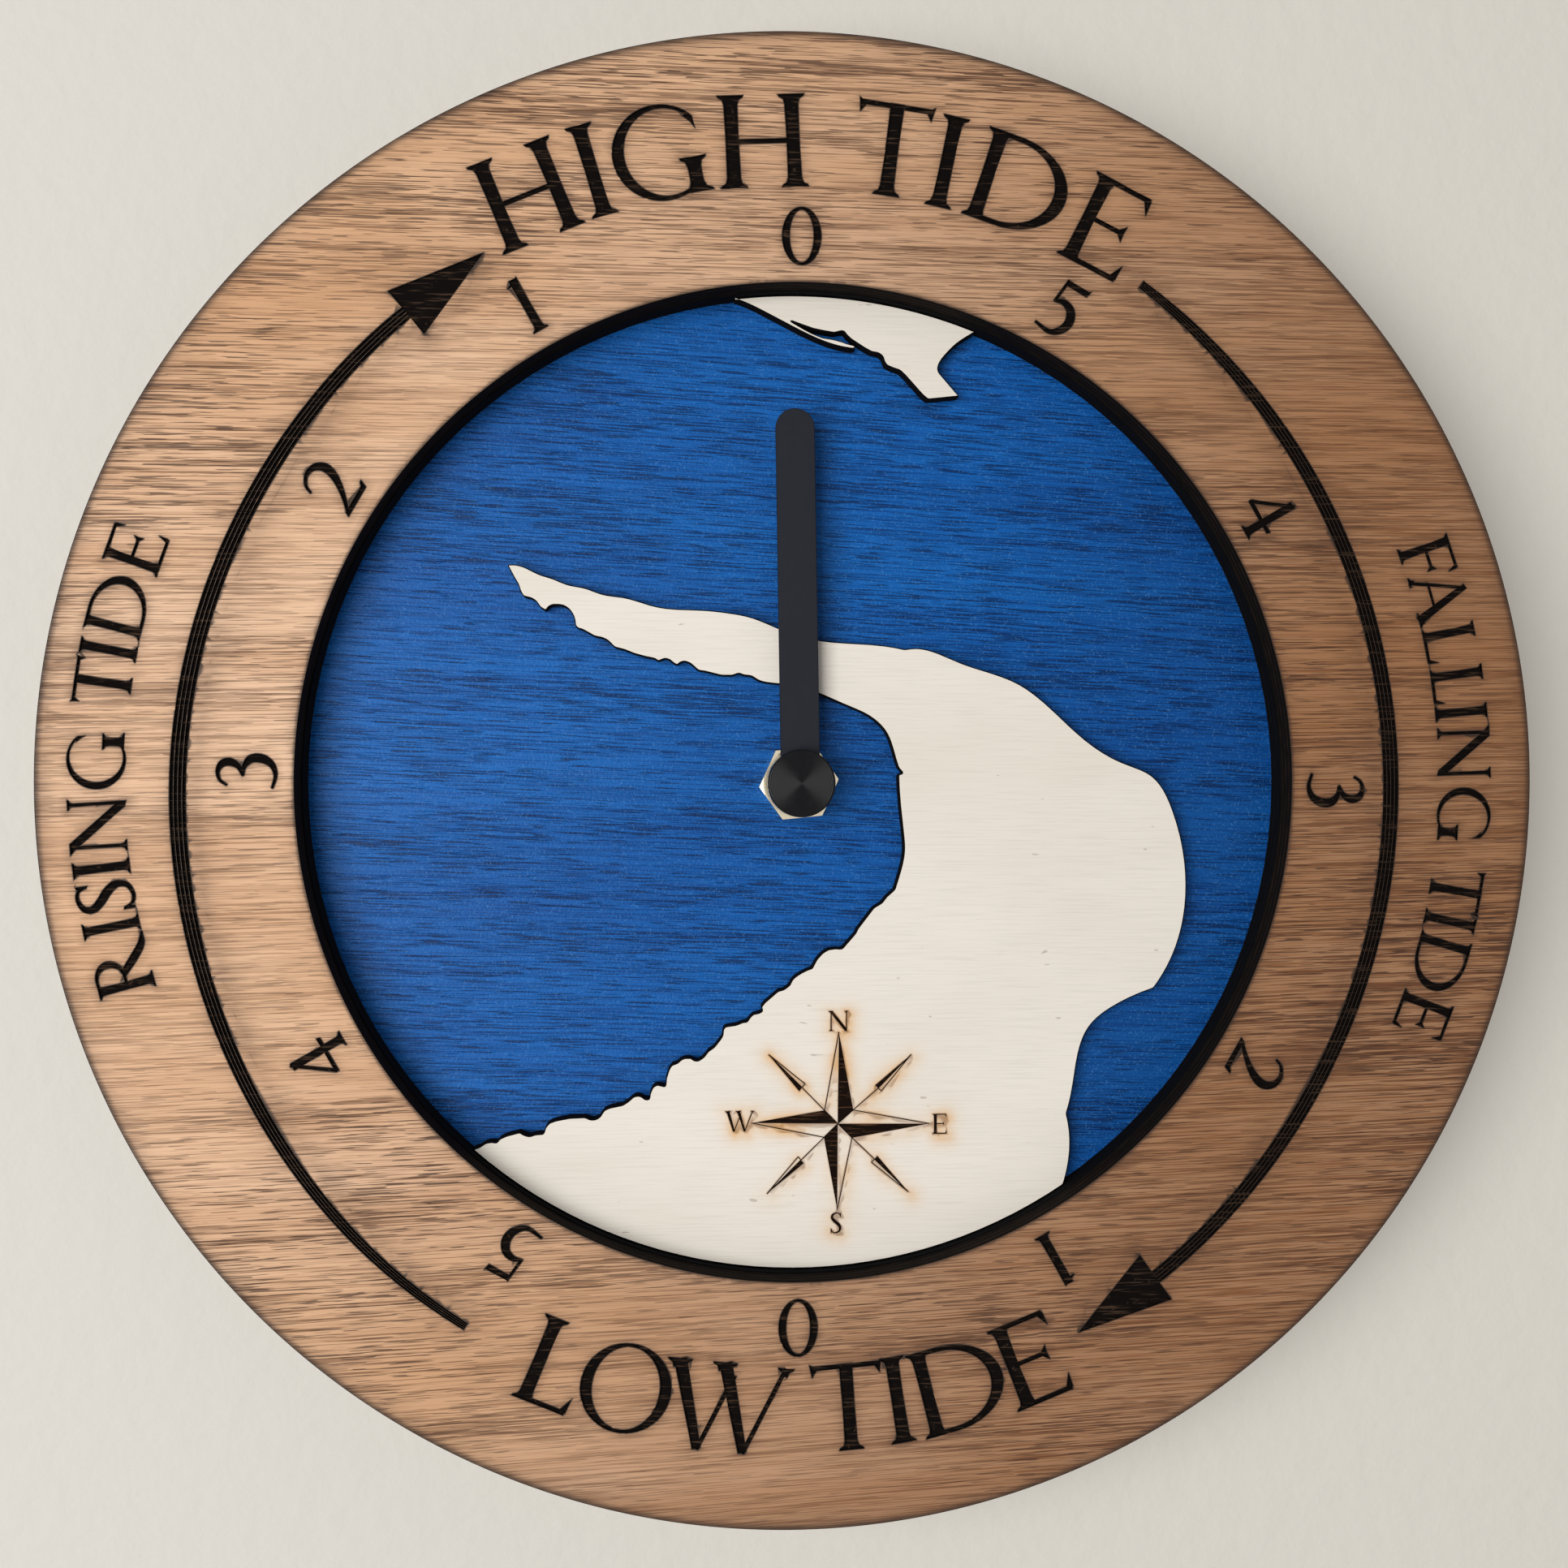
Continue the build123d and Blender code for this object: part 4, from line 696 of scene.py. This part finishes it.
def front_loops(node, depth):
    """Closed outlines of a CAD node's flat front, longest first."""
    mesh = nodes[node].data
    place, flat = {}, []
    index = {}
    for v in mesh.vertices:
        if abs(v.co.y / MM - depth) < 0.01:
            key = (round(v.co.x / MM, 3), round(v.co.z / MM, 3))
            if key not in place:
                place[key] = len(flat)
                flat.append((v.co.x / MM, v.co.z / MM))
            index[v.index] = place[key]
    seen = {}
    for polygon in mesh.polygons:
        corners = list(polygon.vertices)
        if all(c in index for c in corners):
            ids = [index[c] for c in corners]
            for a, b in zip(ids, ids[1:] + ids[:1]):
                seen[(a, b)] = seen.get((a, b), 0) + 1
    follow = {a: b for a, b in seen if (b, a) not in seen}
    loops = []
    while follow:
        a, b = follow.popitem()
        loop = [a]
        while b != loop[0]:
            loop.append(b)
            b = follow.pop(b)
        loops.append(np.array([flat[k] for k in loop]))
    return sorted(loops, key=lambda loop: -np.ptp(loop[:, 0]))


def land_loops(node):
    """Outlines of a land piece with the corners of its coast eased."""
    return [eased(loop) for loop in front_loops(node, LAND_FRONT)]


# Materials.  In metres: one veneer and its neighbour, two turns of wire, and along the cell the
# start of its band and of its bare ends.
VENEER = 0.0015
WIRE = 0.00022
CELL_BAND = 0.0125
CELL_ENDS = (-0.0238, 0.0246)


class Nodes:
    """Short way to write nodes into a tree."""

    def __init__(self, tree):
        self.tree = tree

    def put(self, value, socket):
        if isinstance(value, bpy.types.NodeSocket):
            self.tree.links.new(value, socket)
        else:
            socket.default_value = value

    def node(self, kind, inputs=None, **options):
        made = self.tree.nodes.new(kind)
        for key, value in options.items():
            setattr(made, key, value)
        for key, value in (inputs or {}).items():
            self.put(value, made.inputs[key])
        return made

    def math(self, operation, a, b=0.0):
        return self.node("ShaderNodeMath", {0: a, 1: b}, operation=operation).outputs[0]

    def noise(self, vector, detail=3.0, rough=0.55, warp=0.0):
        inputs = {"Vector": vector, "Scale": 1.0, "Detail": detail, "Roughness": rough, "Distortion": warp}
        return self.node("ShaderNodeTexNoise", inputs).outputs[0]

    def ramp(self, value, low, high, start=0.0, end=1.0):
        inputs = {"Value": value, "From Min": low, "From Max": high, "To Min": start, "To Max": end}
        return self.node("ShaderNodeMapRange", inputs, interpolation_type="SMOOTHSTEP").outputs[0]


class Shader(Nodes):
    """Short way to write a material."""

    def __init__(self, name):
        self.material = bpy.data.materials.new(name)
        self.material.use_nodes = True
        super().__init__(self.material.node_tree)
        self.out = self.tree.nodes["Principled BSDF"]

    def set(self, **inputs):
        for key, value in inputs.items():
            self.put(value, self.out.inputs[key.replace("_", " ")])

    def place(self):
        return self.node("ShaderNodeTexCoord").outputs["Object"]

    def axes(self):
        return self.node("ShaderNodeSeparateXYZ", {0: self.place()}).outputs

    def stretch(self, scale, turn=(0.0, 0.0, 0.0), shift=(0.0, 0.0, 0.0)):
        inputs = {"Vector": self.place(), "Scale": scale, "Rotation": turn, "Location": shift}
        return self.node("ShaderNodeMapping", inputs).outputs[0]

    def speckle(self, scale, detail=3.0, rough=0.55):
        """Noise with its own scale along each axis, or one scale for all three."""
        if isinstance(scale, (int, float)):
            scale = (scale, scale, scale)
        return self.noise(self.stretch(scale), detail, rough)

    def mix(self, factor, a, b):
        return self.node("ShaderNodeMix", {0: factor, 6: a, 7: b}, data_type="RGBA").outputs[2]

    def over(self, base, colour, mask, amount):
        """Colour laid over a base where a mask is, by an amount."""
        return self.mix(self.math("MULTIPLY", mask, amount), base, colour)

    def attribute(self, name):
        return self.node("ShaderNodeAttribute", attribute_name=name).outputs["Fac"]

    def bump(self, height, strength, distance):
        inputs = {"Height": height, "Strength": strength, "Distance": distance}
        self.set(Normal=self.node("ShaderNodeBump", inputs).outputs[0])


def rgb(red, green, blue):
    """Colour given as screen values from 0 to 255."""

    def line(value):
        value /= 255
        return value / 12.92 if value <= 0.04045 else ((value + 0.055) / 1.055) ** 2.4

    return (line(red), line(green), line(blue), 1.0)


def grain_group():
    """Grain of open-pored ply: streaks, fine lines, broad tone and pores that bend with the height."""
    group = bpy.data.node_groups.new("ply_grain", "ShaderNodeTree")
    group.interface.new_socket("Vector", in_out="INPUT", socket_type="NodeSocketVector")
    for name in ("Streak", "Line", "Tone", "Pore"):
        group.interface.new_socket(name, in_out="OUTPUT", socket_type="NodeSocketFloat")
    n = Nodes(group)
    place = n.node("NodeGroupInput").outputs[0]
    x, y, z = n.node("ShaderNodeSeparateXYZ", {0: place}).outputs
    slope = n.math("ADD", n.math("MULTIPLY", z, -0.28), 0.018)
    z = n.math("SUBTRACT", z, n.math("MULTIPLY", x, slope))
    bent = n.node("ShaderNodeCombineXYZ", {0: x, 1: y, 2: z}).outputs[0]

    def noise(scale, detail, warp):
        mapped = n.node("ShaderNodeMapping", {"Vector": bent, "Scale": scale}).outputs[0]
        return n.noise(mapped, detail, 0.5, warp)

    crowd = n.math("MULTIPLY", n.math("SUBTRACT", noise((10, 60, 160), 2.0, 0.3), 0.5), 0.35)
    streak = n.math("ADD", noise((44, 120, 3000), 2.0, 0.1), crowd)
    pore = n.math("ADD", noise((140, 400, 4600), 1.0, 0.0), crowd)
    masks = {
        "Streak": n.ramp(streak, 0.56, 0.6),
        "Line": n.ramp(noise((60, 300, 5600), 1.5, 0.1), 0.48, 0.64),
        "Tone": n.ramp(noise((6, 60, 70), 3.0, 0.5), 0.3, 0.7),
        "Pore": n.ramp(pore, 0.58, 0.61),
    }
    n.node("NodeGroupOutput", masks)
    return group


GRAIN = grain_group()


def grain(shader, scale=(1.0, 1.0, 1.0), tilt=0.0):
    """Grain values of a material, finer where the scale is above one and tilted by an angle."""
    made = shader.node("ShaderNodeGroup", node_tree=GRAIN)
    shader.put(shader.stretch(scale, (0.0, tilt, 0.0)), made.inputs[0])
    return made.outputs


def stained_wood():
    """Warm open-grained veneer, browned beside every burnt line and at its rims."""
    s = Shader("stained_wood")
    g = grain(s)
    parts = s.axes()
    patch = s.ramp(s.speckle((9, 9, 16), 4.0), 0.3, 0.72)
    base = s.mix(patch, rgb(226, 188, 156), rgb(206, 161, 122))
    base = s.over(base, rgb(180, 128, 83), g["Tone"], 0.4)
    # Darker towards the right and the lower side: partly the veneer's own uneven stain, partly painted
    # shade for the side the light reaches less; the grain lines and streaks deepen with it
    stain_and_shade = s.ramp(s.math("SUBTRACT", parts["X"], s.math("MULTIPLY", parts["Z"], 0.35)), -0.09, 0.1)
    soaked = s.math("ADD", s.math("MULTIPLY", g["Line"], 0.26), 0.74)
    base = s.over(base, rgb(124, 79, 44), stain_and_shade, soaked)
    base = s.over(base, rgb(122, 82, 55), g["Line"], 0.3)
    clump = s.noise(s.stretch((8, 8, 13), shift=(0.3, 0.0, 0.7)))
    busy = s.ramp(clump, 0.36, 0.64, 0.4, 1.0)
    deep = s.math("MULTIPLY", s.math("ADD", s.math("MULTIPLY", stain_and_shade, 0.25), 0.6), busy)
    base = s.over(base, rgb(92, 55, 31), g["Streak"], deep)
    base = s.over(base, rgb(58, 33, 19), g["Pore"], s.math("MULTIPLY", busy, 0.85))
    smoke = s.ramp(s.speckle(90, 5.0), 0.2, 0.85)
    soot = s.math("ADD", s.math("MULTIPLY", smoke, 0.6), s.math("MULTIPLY", g["Line"], 0.25))
    burn = s.math("MULTIPLY", s.math("POWER", s.attribute("burn"), 1.3), s.math("ADD", soot, 0.2))
    rim = s.math("MULTIPLY", s.attribute("rim"), s.math("ADD", soot, 0.3))
    base = s.over(base, rgb(70, 44, 29), s.math("MAXIMUM", burn, rim), 0.75)
    base = s.mix(s.ramp(s.attribute("burn"), 0.84, 0.97, 0.0, 0.9), base, rgb(34, 25, 19))
    base = s.mix(s.ramp(s.attribute("rim"), 0.5, 1.0, 0.0, 0.8), base, rgb(48, 33, 24))
    s.set(Base_Color=base, Roughness=s.ramp(g["Streak"], 0.0, 1.0, 0.5, 0.66), Specular_IOR_Level=0.26)
    grooves = s.math("ADD", g["Streak"], s.math("ADD", g["Line"], g["Pore"]))
    s.bump(s.math("MULTIPLY", grooves, -1.0), 0.3, 0.00012)
    return s.material


def charred(name, dark, pale):
    """Laser-burnt ply: near-black, ridged by the beam's passes."""
    s = Shader(name)
    fibre = s.ramp(s.speckle((160, 400, 2600), 2.0, rough=0.6), 0.54, 0.68)
    fleck = s.ramp(s.speckle(900, 3.0), 0.62, 0.8)
    light = s.math("MAXIMUM", fibre, fleck)
    base = s.over(dark, pale, light, 0.5)
    s.set(Base_Color=base, Roughness=0.85, Specular_IOR_Level=0.03)
    s.bump(s.math("ADD", fibre, fleck), 0.4, 0.00012)
    return s.material


def cut_edge(name, dark, pale):
    """Burnt edge of three-ply board, with the veneers showing as faint bands."""
    s = Shader(name)
    y = s.axes()["Y"]
    band = s.ramp(s.math("SINE", s.math("MULTIPLY", y, 2 * math.pi / VENEER)), -0.6, 0.8)
    soot = s.ramp(s.speckle((260, 900, 260), 5.0, rough=0.65), 0.25, 0.8)
    base = s.over(dark, pale, s.math("MULTIPLY", band, soot), 0.6)
    s.set(Base_Color=base, Roughness=0.9, Specular_IOR_Level=0.05)
    s.bump(s.math("ADD", band, soot), 0.3, 0.0001)
    return s.material


def raw_ply():
    """Unfinished pale back of the ply, with long grain."""
    s = Shader("raw_ply")
    g = grain(s)
    base = s.mix(g["Tone"], rgb(212, 184, 150), rgb(193, 160, 124))
    base = s.over(base, rgb(140, 102, 70), g["Streak"], 0.5)
    base = s.over(base, rgb(150, 112, 80), g["Line"], 0.25)
    base = s.over(base, rgb(60, 40, 28), s.attribute("rim"), 0.75)
    s.set(Base_Color=base, Roughness=0.68)
    s.bump(s.math("ADD", g["Streak"], g["Line"]), 0.25, 0.00012)
    return s.material


def blue_paint():
    """Satin blue over open-grained ply, with painted shade towards the right and painted glints for its
    sheen.
    """
    s = Shader("blue_paint")
    g = grain(s, (1.0, 1.0, 0.95), -0.06)
    tone = s.ramp(s.speckle((12, 12, 22), 3.0), 0.3, 0.7)
    base = s.mix(tone, rgb(18, 97, 175), rgb(14, 87, 161))
    parts = s.axes()
    # Painted shade: darker towards the right and the lower side, standing in for the light falling off
    # across the dial
    painted_shade = s.ramp(s.math("SUBTRACT", parts["X"], s.math("MULTIPLY", parts["Z"], 0.3)), 0.01, 0.08)
    base = s.over(base, rgb(12, 70, 132), painted_shade, 0.75)
    base = s.over(base, rgb(7, 64, 138), g["Tone"], 0.3)
    base = s.over(base, rgb(5, 50, 112), g["Line"], 0.55)
    base = s.over(base, rgb(5, 42, 98), g["Streak"], 0.3)
    base = s.over(base, rgb(3, 22, 58), g["Pore"], 0.7)
    # Painted glints: pale blue specks stand in for the sparkle of the satin sheen
    painted_glint = s.ramp(s.speckle(3000, 2.0), 0.56, 0.72)
    base = s.over(base, rgb(96, 158, 220), painted_glint, 0.22)
    s.set(Base_Color=base, Roughness=0.34, Specular_IOR_Level=0.1)
    peel = s.speckle(2600, 2.0)
    pits = s.math("ADD", s.math("MULTIPLY", g["Streak"], 0.4), g["Pore"])
    s.bump(s.math("SUBTRACT", peel, s.math("MULTIPLY", pits, 0.8)), 0.5, 0.00014)
    return s.material


def whitewash():
    """Whitewashed fine-grained ply, singed amber round the wind rose."""
    s = Shader("whitewash")
    line = s.ramp(s.speckle((90, 200, 3600), 2.0, rough=0.6), 0.45, 0.72)
    tone = s.ramp(s.speckle((14, 14, 40), 3.0), 0.3, 0.7)
    base = s.mix(tone, rgb(229, 222, 213), rgb(222, 215, 204))
    base = s.over(base, rgb(203, 198, 186), line, 0.35)
    dot = s.ramp(s.speckle((300, 700, 900), 1.0), 0.78, 0.82)
    base = s.over(base, rgb(140, 128, 112), dot, 0.45)
    cloud = s.ramp(s.speckle(110, 4.0), 0.25, 0.8)
    burn = s.math("MULTIPLY", s.attribute("burn"), s.math("ADD", s.math("MULTIPLY", cloud, 0.8), 0.15))
    base = s.mix(burn, base, rgb(216, 164, 92))
    base = s.mix(s.ramp(s.attribute("burn"), 0.84, 1.0, 0.0, 0.6), base, rgb(112, 70, 36))
    s.set(Base_Color=base, Roughness=0.6, Specular_IOR_Level=0.12)
    s.bump(line, 0.2, 0.0001)
    return s.material


def satin(name, colour, rough, metal=0.0, specular=0.5, mottled=0.2, scale=900.0, depth=0.00004):
    """Plain finish with fine mottling in its colour and gloss."""
    s = Shader(name)
    grainy = s.speckle(scale, 4.0, rough=0.6)
    worn = s.ramp(s.speckle(70, 4.0), 0.3, 0.75)
    gloss = s.ramp(worn, 0.0, 1.0, rough * 0.88, min(1.0, rough * 1.15))
    lighter = tuple(min(1.0, c * 1.5 + 0.012) for c in colour[:3]) + (1.0,)
    base = s.over(colour, lighter, grainy, mottled)
    s.set(Base_Color=base, Roughness=gloss, Specular_IOR_Level=specular, Metallic=metal)
    s.bump(grainy, 0.3, depth)
    return s.material


def turned_black():
    """Black turned cap, bright on the ridges of its grooves."""
    s = Shader("turned_black")
    fine = s.speckle(900, 3.0)
    base = s.mix(fine, rgb(6, 6, 8), rgb(13, 14, 18))
    s.set(Base_Color=base, Roughness=s.ramp(fine, 0.2, 0.8, 0.16, 0.26), Specular_IOR_Level=0.15)
    return s.material


def wound_copper():
    """Fine enamelled wire laid in turns along the coil, with painted shade between the turns and a painted
    highlight on each.
    """
    s = Shader("wound_copper")
    x = s.axes()["X"]
    # Painted shade and highlight: each turn of wire dark copper in the crease beside the next and pale
    # copper on its crown
    turn = s.math("SINE", s.math("MULTIPLY", x, 2 * math.pi / WIRE))
    base = s.mix(s.ramp(turn, -1.0, 1.0), rgb(96, 44, 22), rgb(196, 110, 62))
    s.set(Base_Color=base, Roughness=0.35, Metallic=0.8)
    s.bump(turn, 0.6, 0.00005)
    return s.material


def cell_jacket():
    """Plain cell: dark sleeve, pale band and bare metal ends."""
    s = Shader("cell_jacket")
    x = s.axes()["X"]
    scuff = s.speckle(240, 5.0)
    sleeve = s.mix(s.ramp(scuff, 0.55, 0.8), rgb(34, 37, 42), rgb(56, 60, 66))
    base = s.mix(s.math("GREATER_THAN", x, CELL_BAND), sleeve, rgb(176, 138, 74))
    low, high = CELL_ENDS
    ends = s.math("MAXIMUM", s.math("GREATER_THAN", x, high), s.math("LESS_THAN", x, low))
    base = s.mix(ends, base, rgb(196, 196, 192))
    s.set(Base_Color=base, Roughness=s.ramp(scuff, 0.2, 0.8, 0.24, 0.4), Metallic=ends)
    return s.material


def dress(names, *finish):
    """Gives CAD nodes one material, or three for their front, edge and back."""
    for name in names:
        data = nodes[name].data
        data.materials.clear()
        for material in finish:
            data.materials.append(material)
        if len(finish) == 3:
            facing = [p.normal.y for p in data.polygons]
            sides = [0 if y < -0.5 else 2 if y > 0.5 else 1 for y in facing]
            data.polygons.foreach_set("material_index", sides)


WOOD = stained_wood()
CHAR = charred("burnt_mark", rgb(14, 11, 10), rgb(86, 66, 52))
DARK_CHAR = charred("burnt_rose", rgb(22, 14, 10), rgb(104, 74, 52))
EDGE = cut_edge("burnt_edge", rgb(14, 12, 11), rgb(56, 40, 29))
COAST_EDGE = cut_edge("coast_edge", rgb(10, 9, 9), rgb(34, 26, 21))
BLACK_EDGE = cut_edge("black_edge", rgb(9, 9, 11), rgb(26, 25, 26))
RAW = raw_ply()
BLUE = blue_paint()
WHITE = whitewash()
HAND = satin("hand_black", rgb(25, 28, 36), 0.5, specular=0.12)
CAP = turned_black()
PALE_BRASS = satin("pale_brass", rgb(236, 222, 194), 0.24, 0.95, mottled=0.15, scale=500.0)
BRASS = satin("brass", rgb(190, 146, 70), 0.3, 1.0, scale=500.0)
STEEL = satin("steel", rgb(178, 178, 174), 0.32, 1.0, scale=500.0)
MAGNET = satin("magnet", rgb(58, 56, 56), 0.45, 0.6, mottled=0.3, scale=700.0)
PLASTIC = satin("black_plastic", rgb(26, 26, 28), 0.5, mottled=0.3, scale=1400.0, depth=0.00008)
WHITE_PLASTIC = satin("white_plastic", rgb(226, 224, 216), 0.42)
AMBER = satin("amber_plastic", rgb(190, 120, 40), 0.4)
BOARD = satin("circuit_board", rgb(34, 84, 52), 0.45, mottled=0.4, scale=400.0)
RESIN = satin("black_resin", rgb(14, 14, 15), 0.22, specular=0.6, scale=300.0)
RUBBER = satin("rubber", rgb(28, 28, 28), 0.75, specular=0.3, mottled=0.3, scale=800.0)


# Pieces that take the place of CAD nodes.  Sizes in millimetres: bevels, spacing of the mesh
# and reach of the smoke.
SMOKE_SHIFT = 1.6


def outward(flat):
    """Flat points moved away from the dial's middle, as the smoke drifted."""
    away = np.maximum(np.hypot(flat[:, 0], flat[:, 1]), 1.0)
    return flat * (1 + SMOKE_SHIFT / away)[:, None]


face_ring = board(
    "engraved_face_ring", [circle(DIAL_R), circle(BORE_R)], ring_marks(), FACE_FRONT, FACE_BACK,
    CARVE_DEPTH, bevel=0.12, spacing=1.3, materials=[WOOD, EDGE, CHAR, RAW], burn=1.0, rim=(1.7, 0.8),
    drift=(outward, [sweep(RISING_ARC), sweep(FALLING_ARC), *ARROW_HEADS], 2.9, 0.9),
)
rose = compass_marks()
land_south = board(
    "engraved_land_south", land_loops("land_south"), rose, LAND_FRONT, LAND_BACK,
    COMPASS_DEPTH, bevel=0.2, spacing=0.9, materials=[WHITE, COAST_EDGE, DARK_CHAR, RAW],
    burn=1.1, rim=(0.4,),
    drift=(lambda flat: flat - (0.5, -0.6), [outline for outline, _ in rose], 1.1, 1.0),
)
land_north = board(
    "washed_land_north", land_loops("land_north"), [], LAND_FRONT, LAND_BACK,
    COMPASS_DEPTH, bevel=0.2, spacing=1.2, materials=[WHITE, COAST_EDGE, DARK_CHAR, RAW], rim=(0.4,),
)
tide_hand = board(
    "bevelled_hand", front_loops("tide_hand", HAND_FRONT), [], HAND_FRONT, HAND_BACK,
    0.0, bevel=0.12, spacing=4.0, materials=[HAND] * 4, rim=(0.2, 0.2),
)

# Cap: rounded rim, turned grooves, and the pin that sits in the hand's collet
CAP_R = 5.75
CAP_ROUND = 0.4
CAP_EASE = 0.08
GROOVE_R = CAP_R - CAP_ROUND
GROOVE_DEPTH = 0.032
GROOVES = 17
PIN_R = 1.65
PIN_END = HAND_FRONT + 1.9
PIN_EASE = 0.1
cap_profile = [
    (GROOVE_R + CAP_ROUND * math.sin(t), CAP_FRONT + CAP_ROUND * (1 - math.cos(t)))
    for t in np.linspace(0.0, math.pi / 2, 8)
]
cap_profile += [(CAP_R, HAND_FRONT - CAP_EASE), (CAP_R - CAP_EASE, HAND_FRONT), (PIN_R, HAND_FRONT)]
cap_profile += [(PIN_R, PIN_END - PIN_EASE), (PIN_R - PIN_EASE, PIN_END), (0.0, PIN_END)]
hub_cap = lathe("turned_cap", cap_profile, CAP)
grooved_face = grown(
    "grooved_face", groove_tree(), Radius=GROOVE_R * MM, Front=CAP_FRONT * MM,
    Groove_Count=float(GROOVES), Groove_Depth=GROOVE_DEPTH * MM, Segments=96.0, Material=CAP,
)
welded(hub_cap, grooved_face)

for piece, body, node, slot in (
    (face_ring, "clock_body", "face_ring", "stained_plywood"),
    (land_south, "clock_body", "land_south", "white_plywood"),
    (land_north, "clock_body", "land_north", "white_plywood"),
    (tide_hand, "tide_pointer", "tide_hand", "black_hand"),
    (hub_cap, "tide_pointer", "hub_cap", "black_cap"),
):
    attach(piece, body)
    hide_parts(node)

# CAD nodes that keep their shape
dress(("back_disc",), BLUE, EDGE, RAW)
dress(("spacer_ring",), BLACK_EDGE, BLACK_EDGE, RAW)
dress(("mounting_nut",), PALE_BRASS)
dress(("threaded_bush", "hand_collet"), BRASS)
dress(("hour_wheel", "minute_works_wheel", "setting_pinion", "setting_knob"), WHITE_PLASTIC)
dress(("third_wheel", "second_wheel", "intermediate_wheel"), WHITE_PLASTIC)
dress(("rotor_pinion", "centre_wheel"), WHITE_PLASTIC)
dress(("cannon_pinion", "clutch_washer", "stator", "coil_core"), STEEL)
dress(("quartz_crystal", "positive_contact", "negative_contact"), STEEL)
dress(("movement_case", "back_cover", "train_bridge"), PLASTIC)
dress(("rotor_magnet",), MAGNET)
dress(("coil_bobbin",), AMBER)
dress(("coil_winding",), wound_copper())
dress(("circuit_board",), BOARD)
dress(("timer_chip",), RESIN)
dress(("battery_cell",), cell_jacket())
dress(("rubber_gasket",), RUBBER)

# Wall behind the clock: half its width and its set-back in millimetres, and in metres the distances
# between which its paint turns into one even tone
WALL_HALF = 6000.0
WALL_SET_BACK = 0.3
WALL_NEAR = 0.21
WALL_FAR = 0.75


def wall_paint():
    """Pale plaster near the clock with painted shade on its lamp side, one even tone for the camera far
    from it, clear from behind.
    """
    s = Shader("wall_paint")
    plaster = s.speckle(190, 5.0)
    # Darker towards the left: painted shade that evens out the extra light the key lamp throws on that
    # side
    painted_shade_tint = s.mix(s.ramp(s.axes()["X"], -0.2, 0.2), rgb(209, 206, 200), rgb(221, 217, 209))
    s.set(Base_Color=s.over(painted_shade_tint, rgb(198, 195, 188), plaster, 0.12), Roughness=0.85)
    s.bump(plaster, 0.4, 0.0008)
    away = s.node("ShaderNodeVectorMath", {0: s.place()}, operation="LENGTH").outputs["Value"]
    looked = s.node("ShaderNodeLightPath").outputs["Is Camera Ray"]
    far = s.math("MULTIPLY", s.ramp(away, WALL_NEAR, WALL_FAR), looked)
    behind = s.node("ShaderNodeNewGeometry").outputs["Backfacing"]
    plain = s.node("ShaderNodeEmission", {"Color": rgb(219, 218, 216)})
    clear = s.node("ShaderNodeBsdfTransparent")
    surface = s.out.outputs[0]
    for factor, other in ((far, plain), (behind, clear)):
        inputs = {0: factor, 1: surface, 2: other.outputs[0]}
        surface = s.node("ShaderNodeMixShader", inputs).outputs[0]
    s.put(surface, s.tree.nodes["Material Output"].inputs["Surface"])
    return s.material


corners = [(x * WALL_HALF, WALL_SET_BACK, z * WALL_HALF) for x, z in ((-1, -1), (1, -1), (1, 1), (-1, 1))]
wall = new_mesh("wall", corners, [(0, 1, 2, 3)], [wall_paint()])
wall.visible_shadow = False
wall.visible_diffuse = False


# Light and camera.  The world is brighter where it is seen than where it lights.
WORLD_TINT = (0.98, 0.97, 0.95, 1.0)
WORLD_LIGHT = 0.34
WORLD_SEEN = 0.74


def lamp(name, at, size, power, colour):
    """Soft square light aimed at the clock."""
    data = bpy.data.lights.new(name, "AREA")
    data.energy = power
    data.size = size
    data.color = colour
    made = bpy.data.objects.new(name, data)
    made.location = at
    made.rotation_mode = "QUATERNION"
    made.rotation_quaternion = (-Vector(at)).to_track_quat("-Z", "Y")
    bpy.context.scene.collection.objects.link(made)


def surround():
    """Pale even world."""
    world = bpy.data.worlds.new("studio")
    world.use_nodes = True
    n = Nodes(world.node_tree)
    path = n.node("ShaderNodeLightPath").outputs
    seen = path["Is Camera Ray"]
    for ray in ("Is Glossy Ray", "Is Transmission Ray"):
        seen = n.math("MAXIMUM", seen, path[ray])
    extra = n.math("MULTIPLY", seen, WORLD_SEEN - WORLD_LIGHT)
    background = n.tree.nodes["Background"].inputs
    n.put(WORLD_TINT, background["Color"])
    n.put(n.math("ADD", extra, WORLD_LIGHT), background["Strength"])
    return world


lamp("key_light", (-0.5, -0.92, -0.02), 0.7, 10.2, (1.0, 0.99, 0.97))
lamp("back_light", (0.7, 1.1, 0.7), 0.8, 7.0, (0.82, 0.91, 1.0))
bpy.context.scene.world = surround()
bpy.context.scene.view_settings.view_transform = "Standard"

lens = bpy.data.cameras.new("camera")
lens.lens = CAMERA_LENS
lens.sensor_width = SENSOR
lens.clip_start = 0.01
camera = bpy.data.objects.new("camera", lens)
camera.location = Vector(CAMERA_AT) * MM
camera.rotation_mode = "QUATERNION"
camera.rotation_quaternion = Vector(CAMERA_AIM).to_track_quat("-Z", "Y")
bpy.context.scene.collection.objects.link(camera)
bpy.context.scene.camera = camera
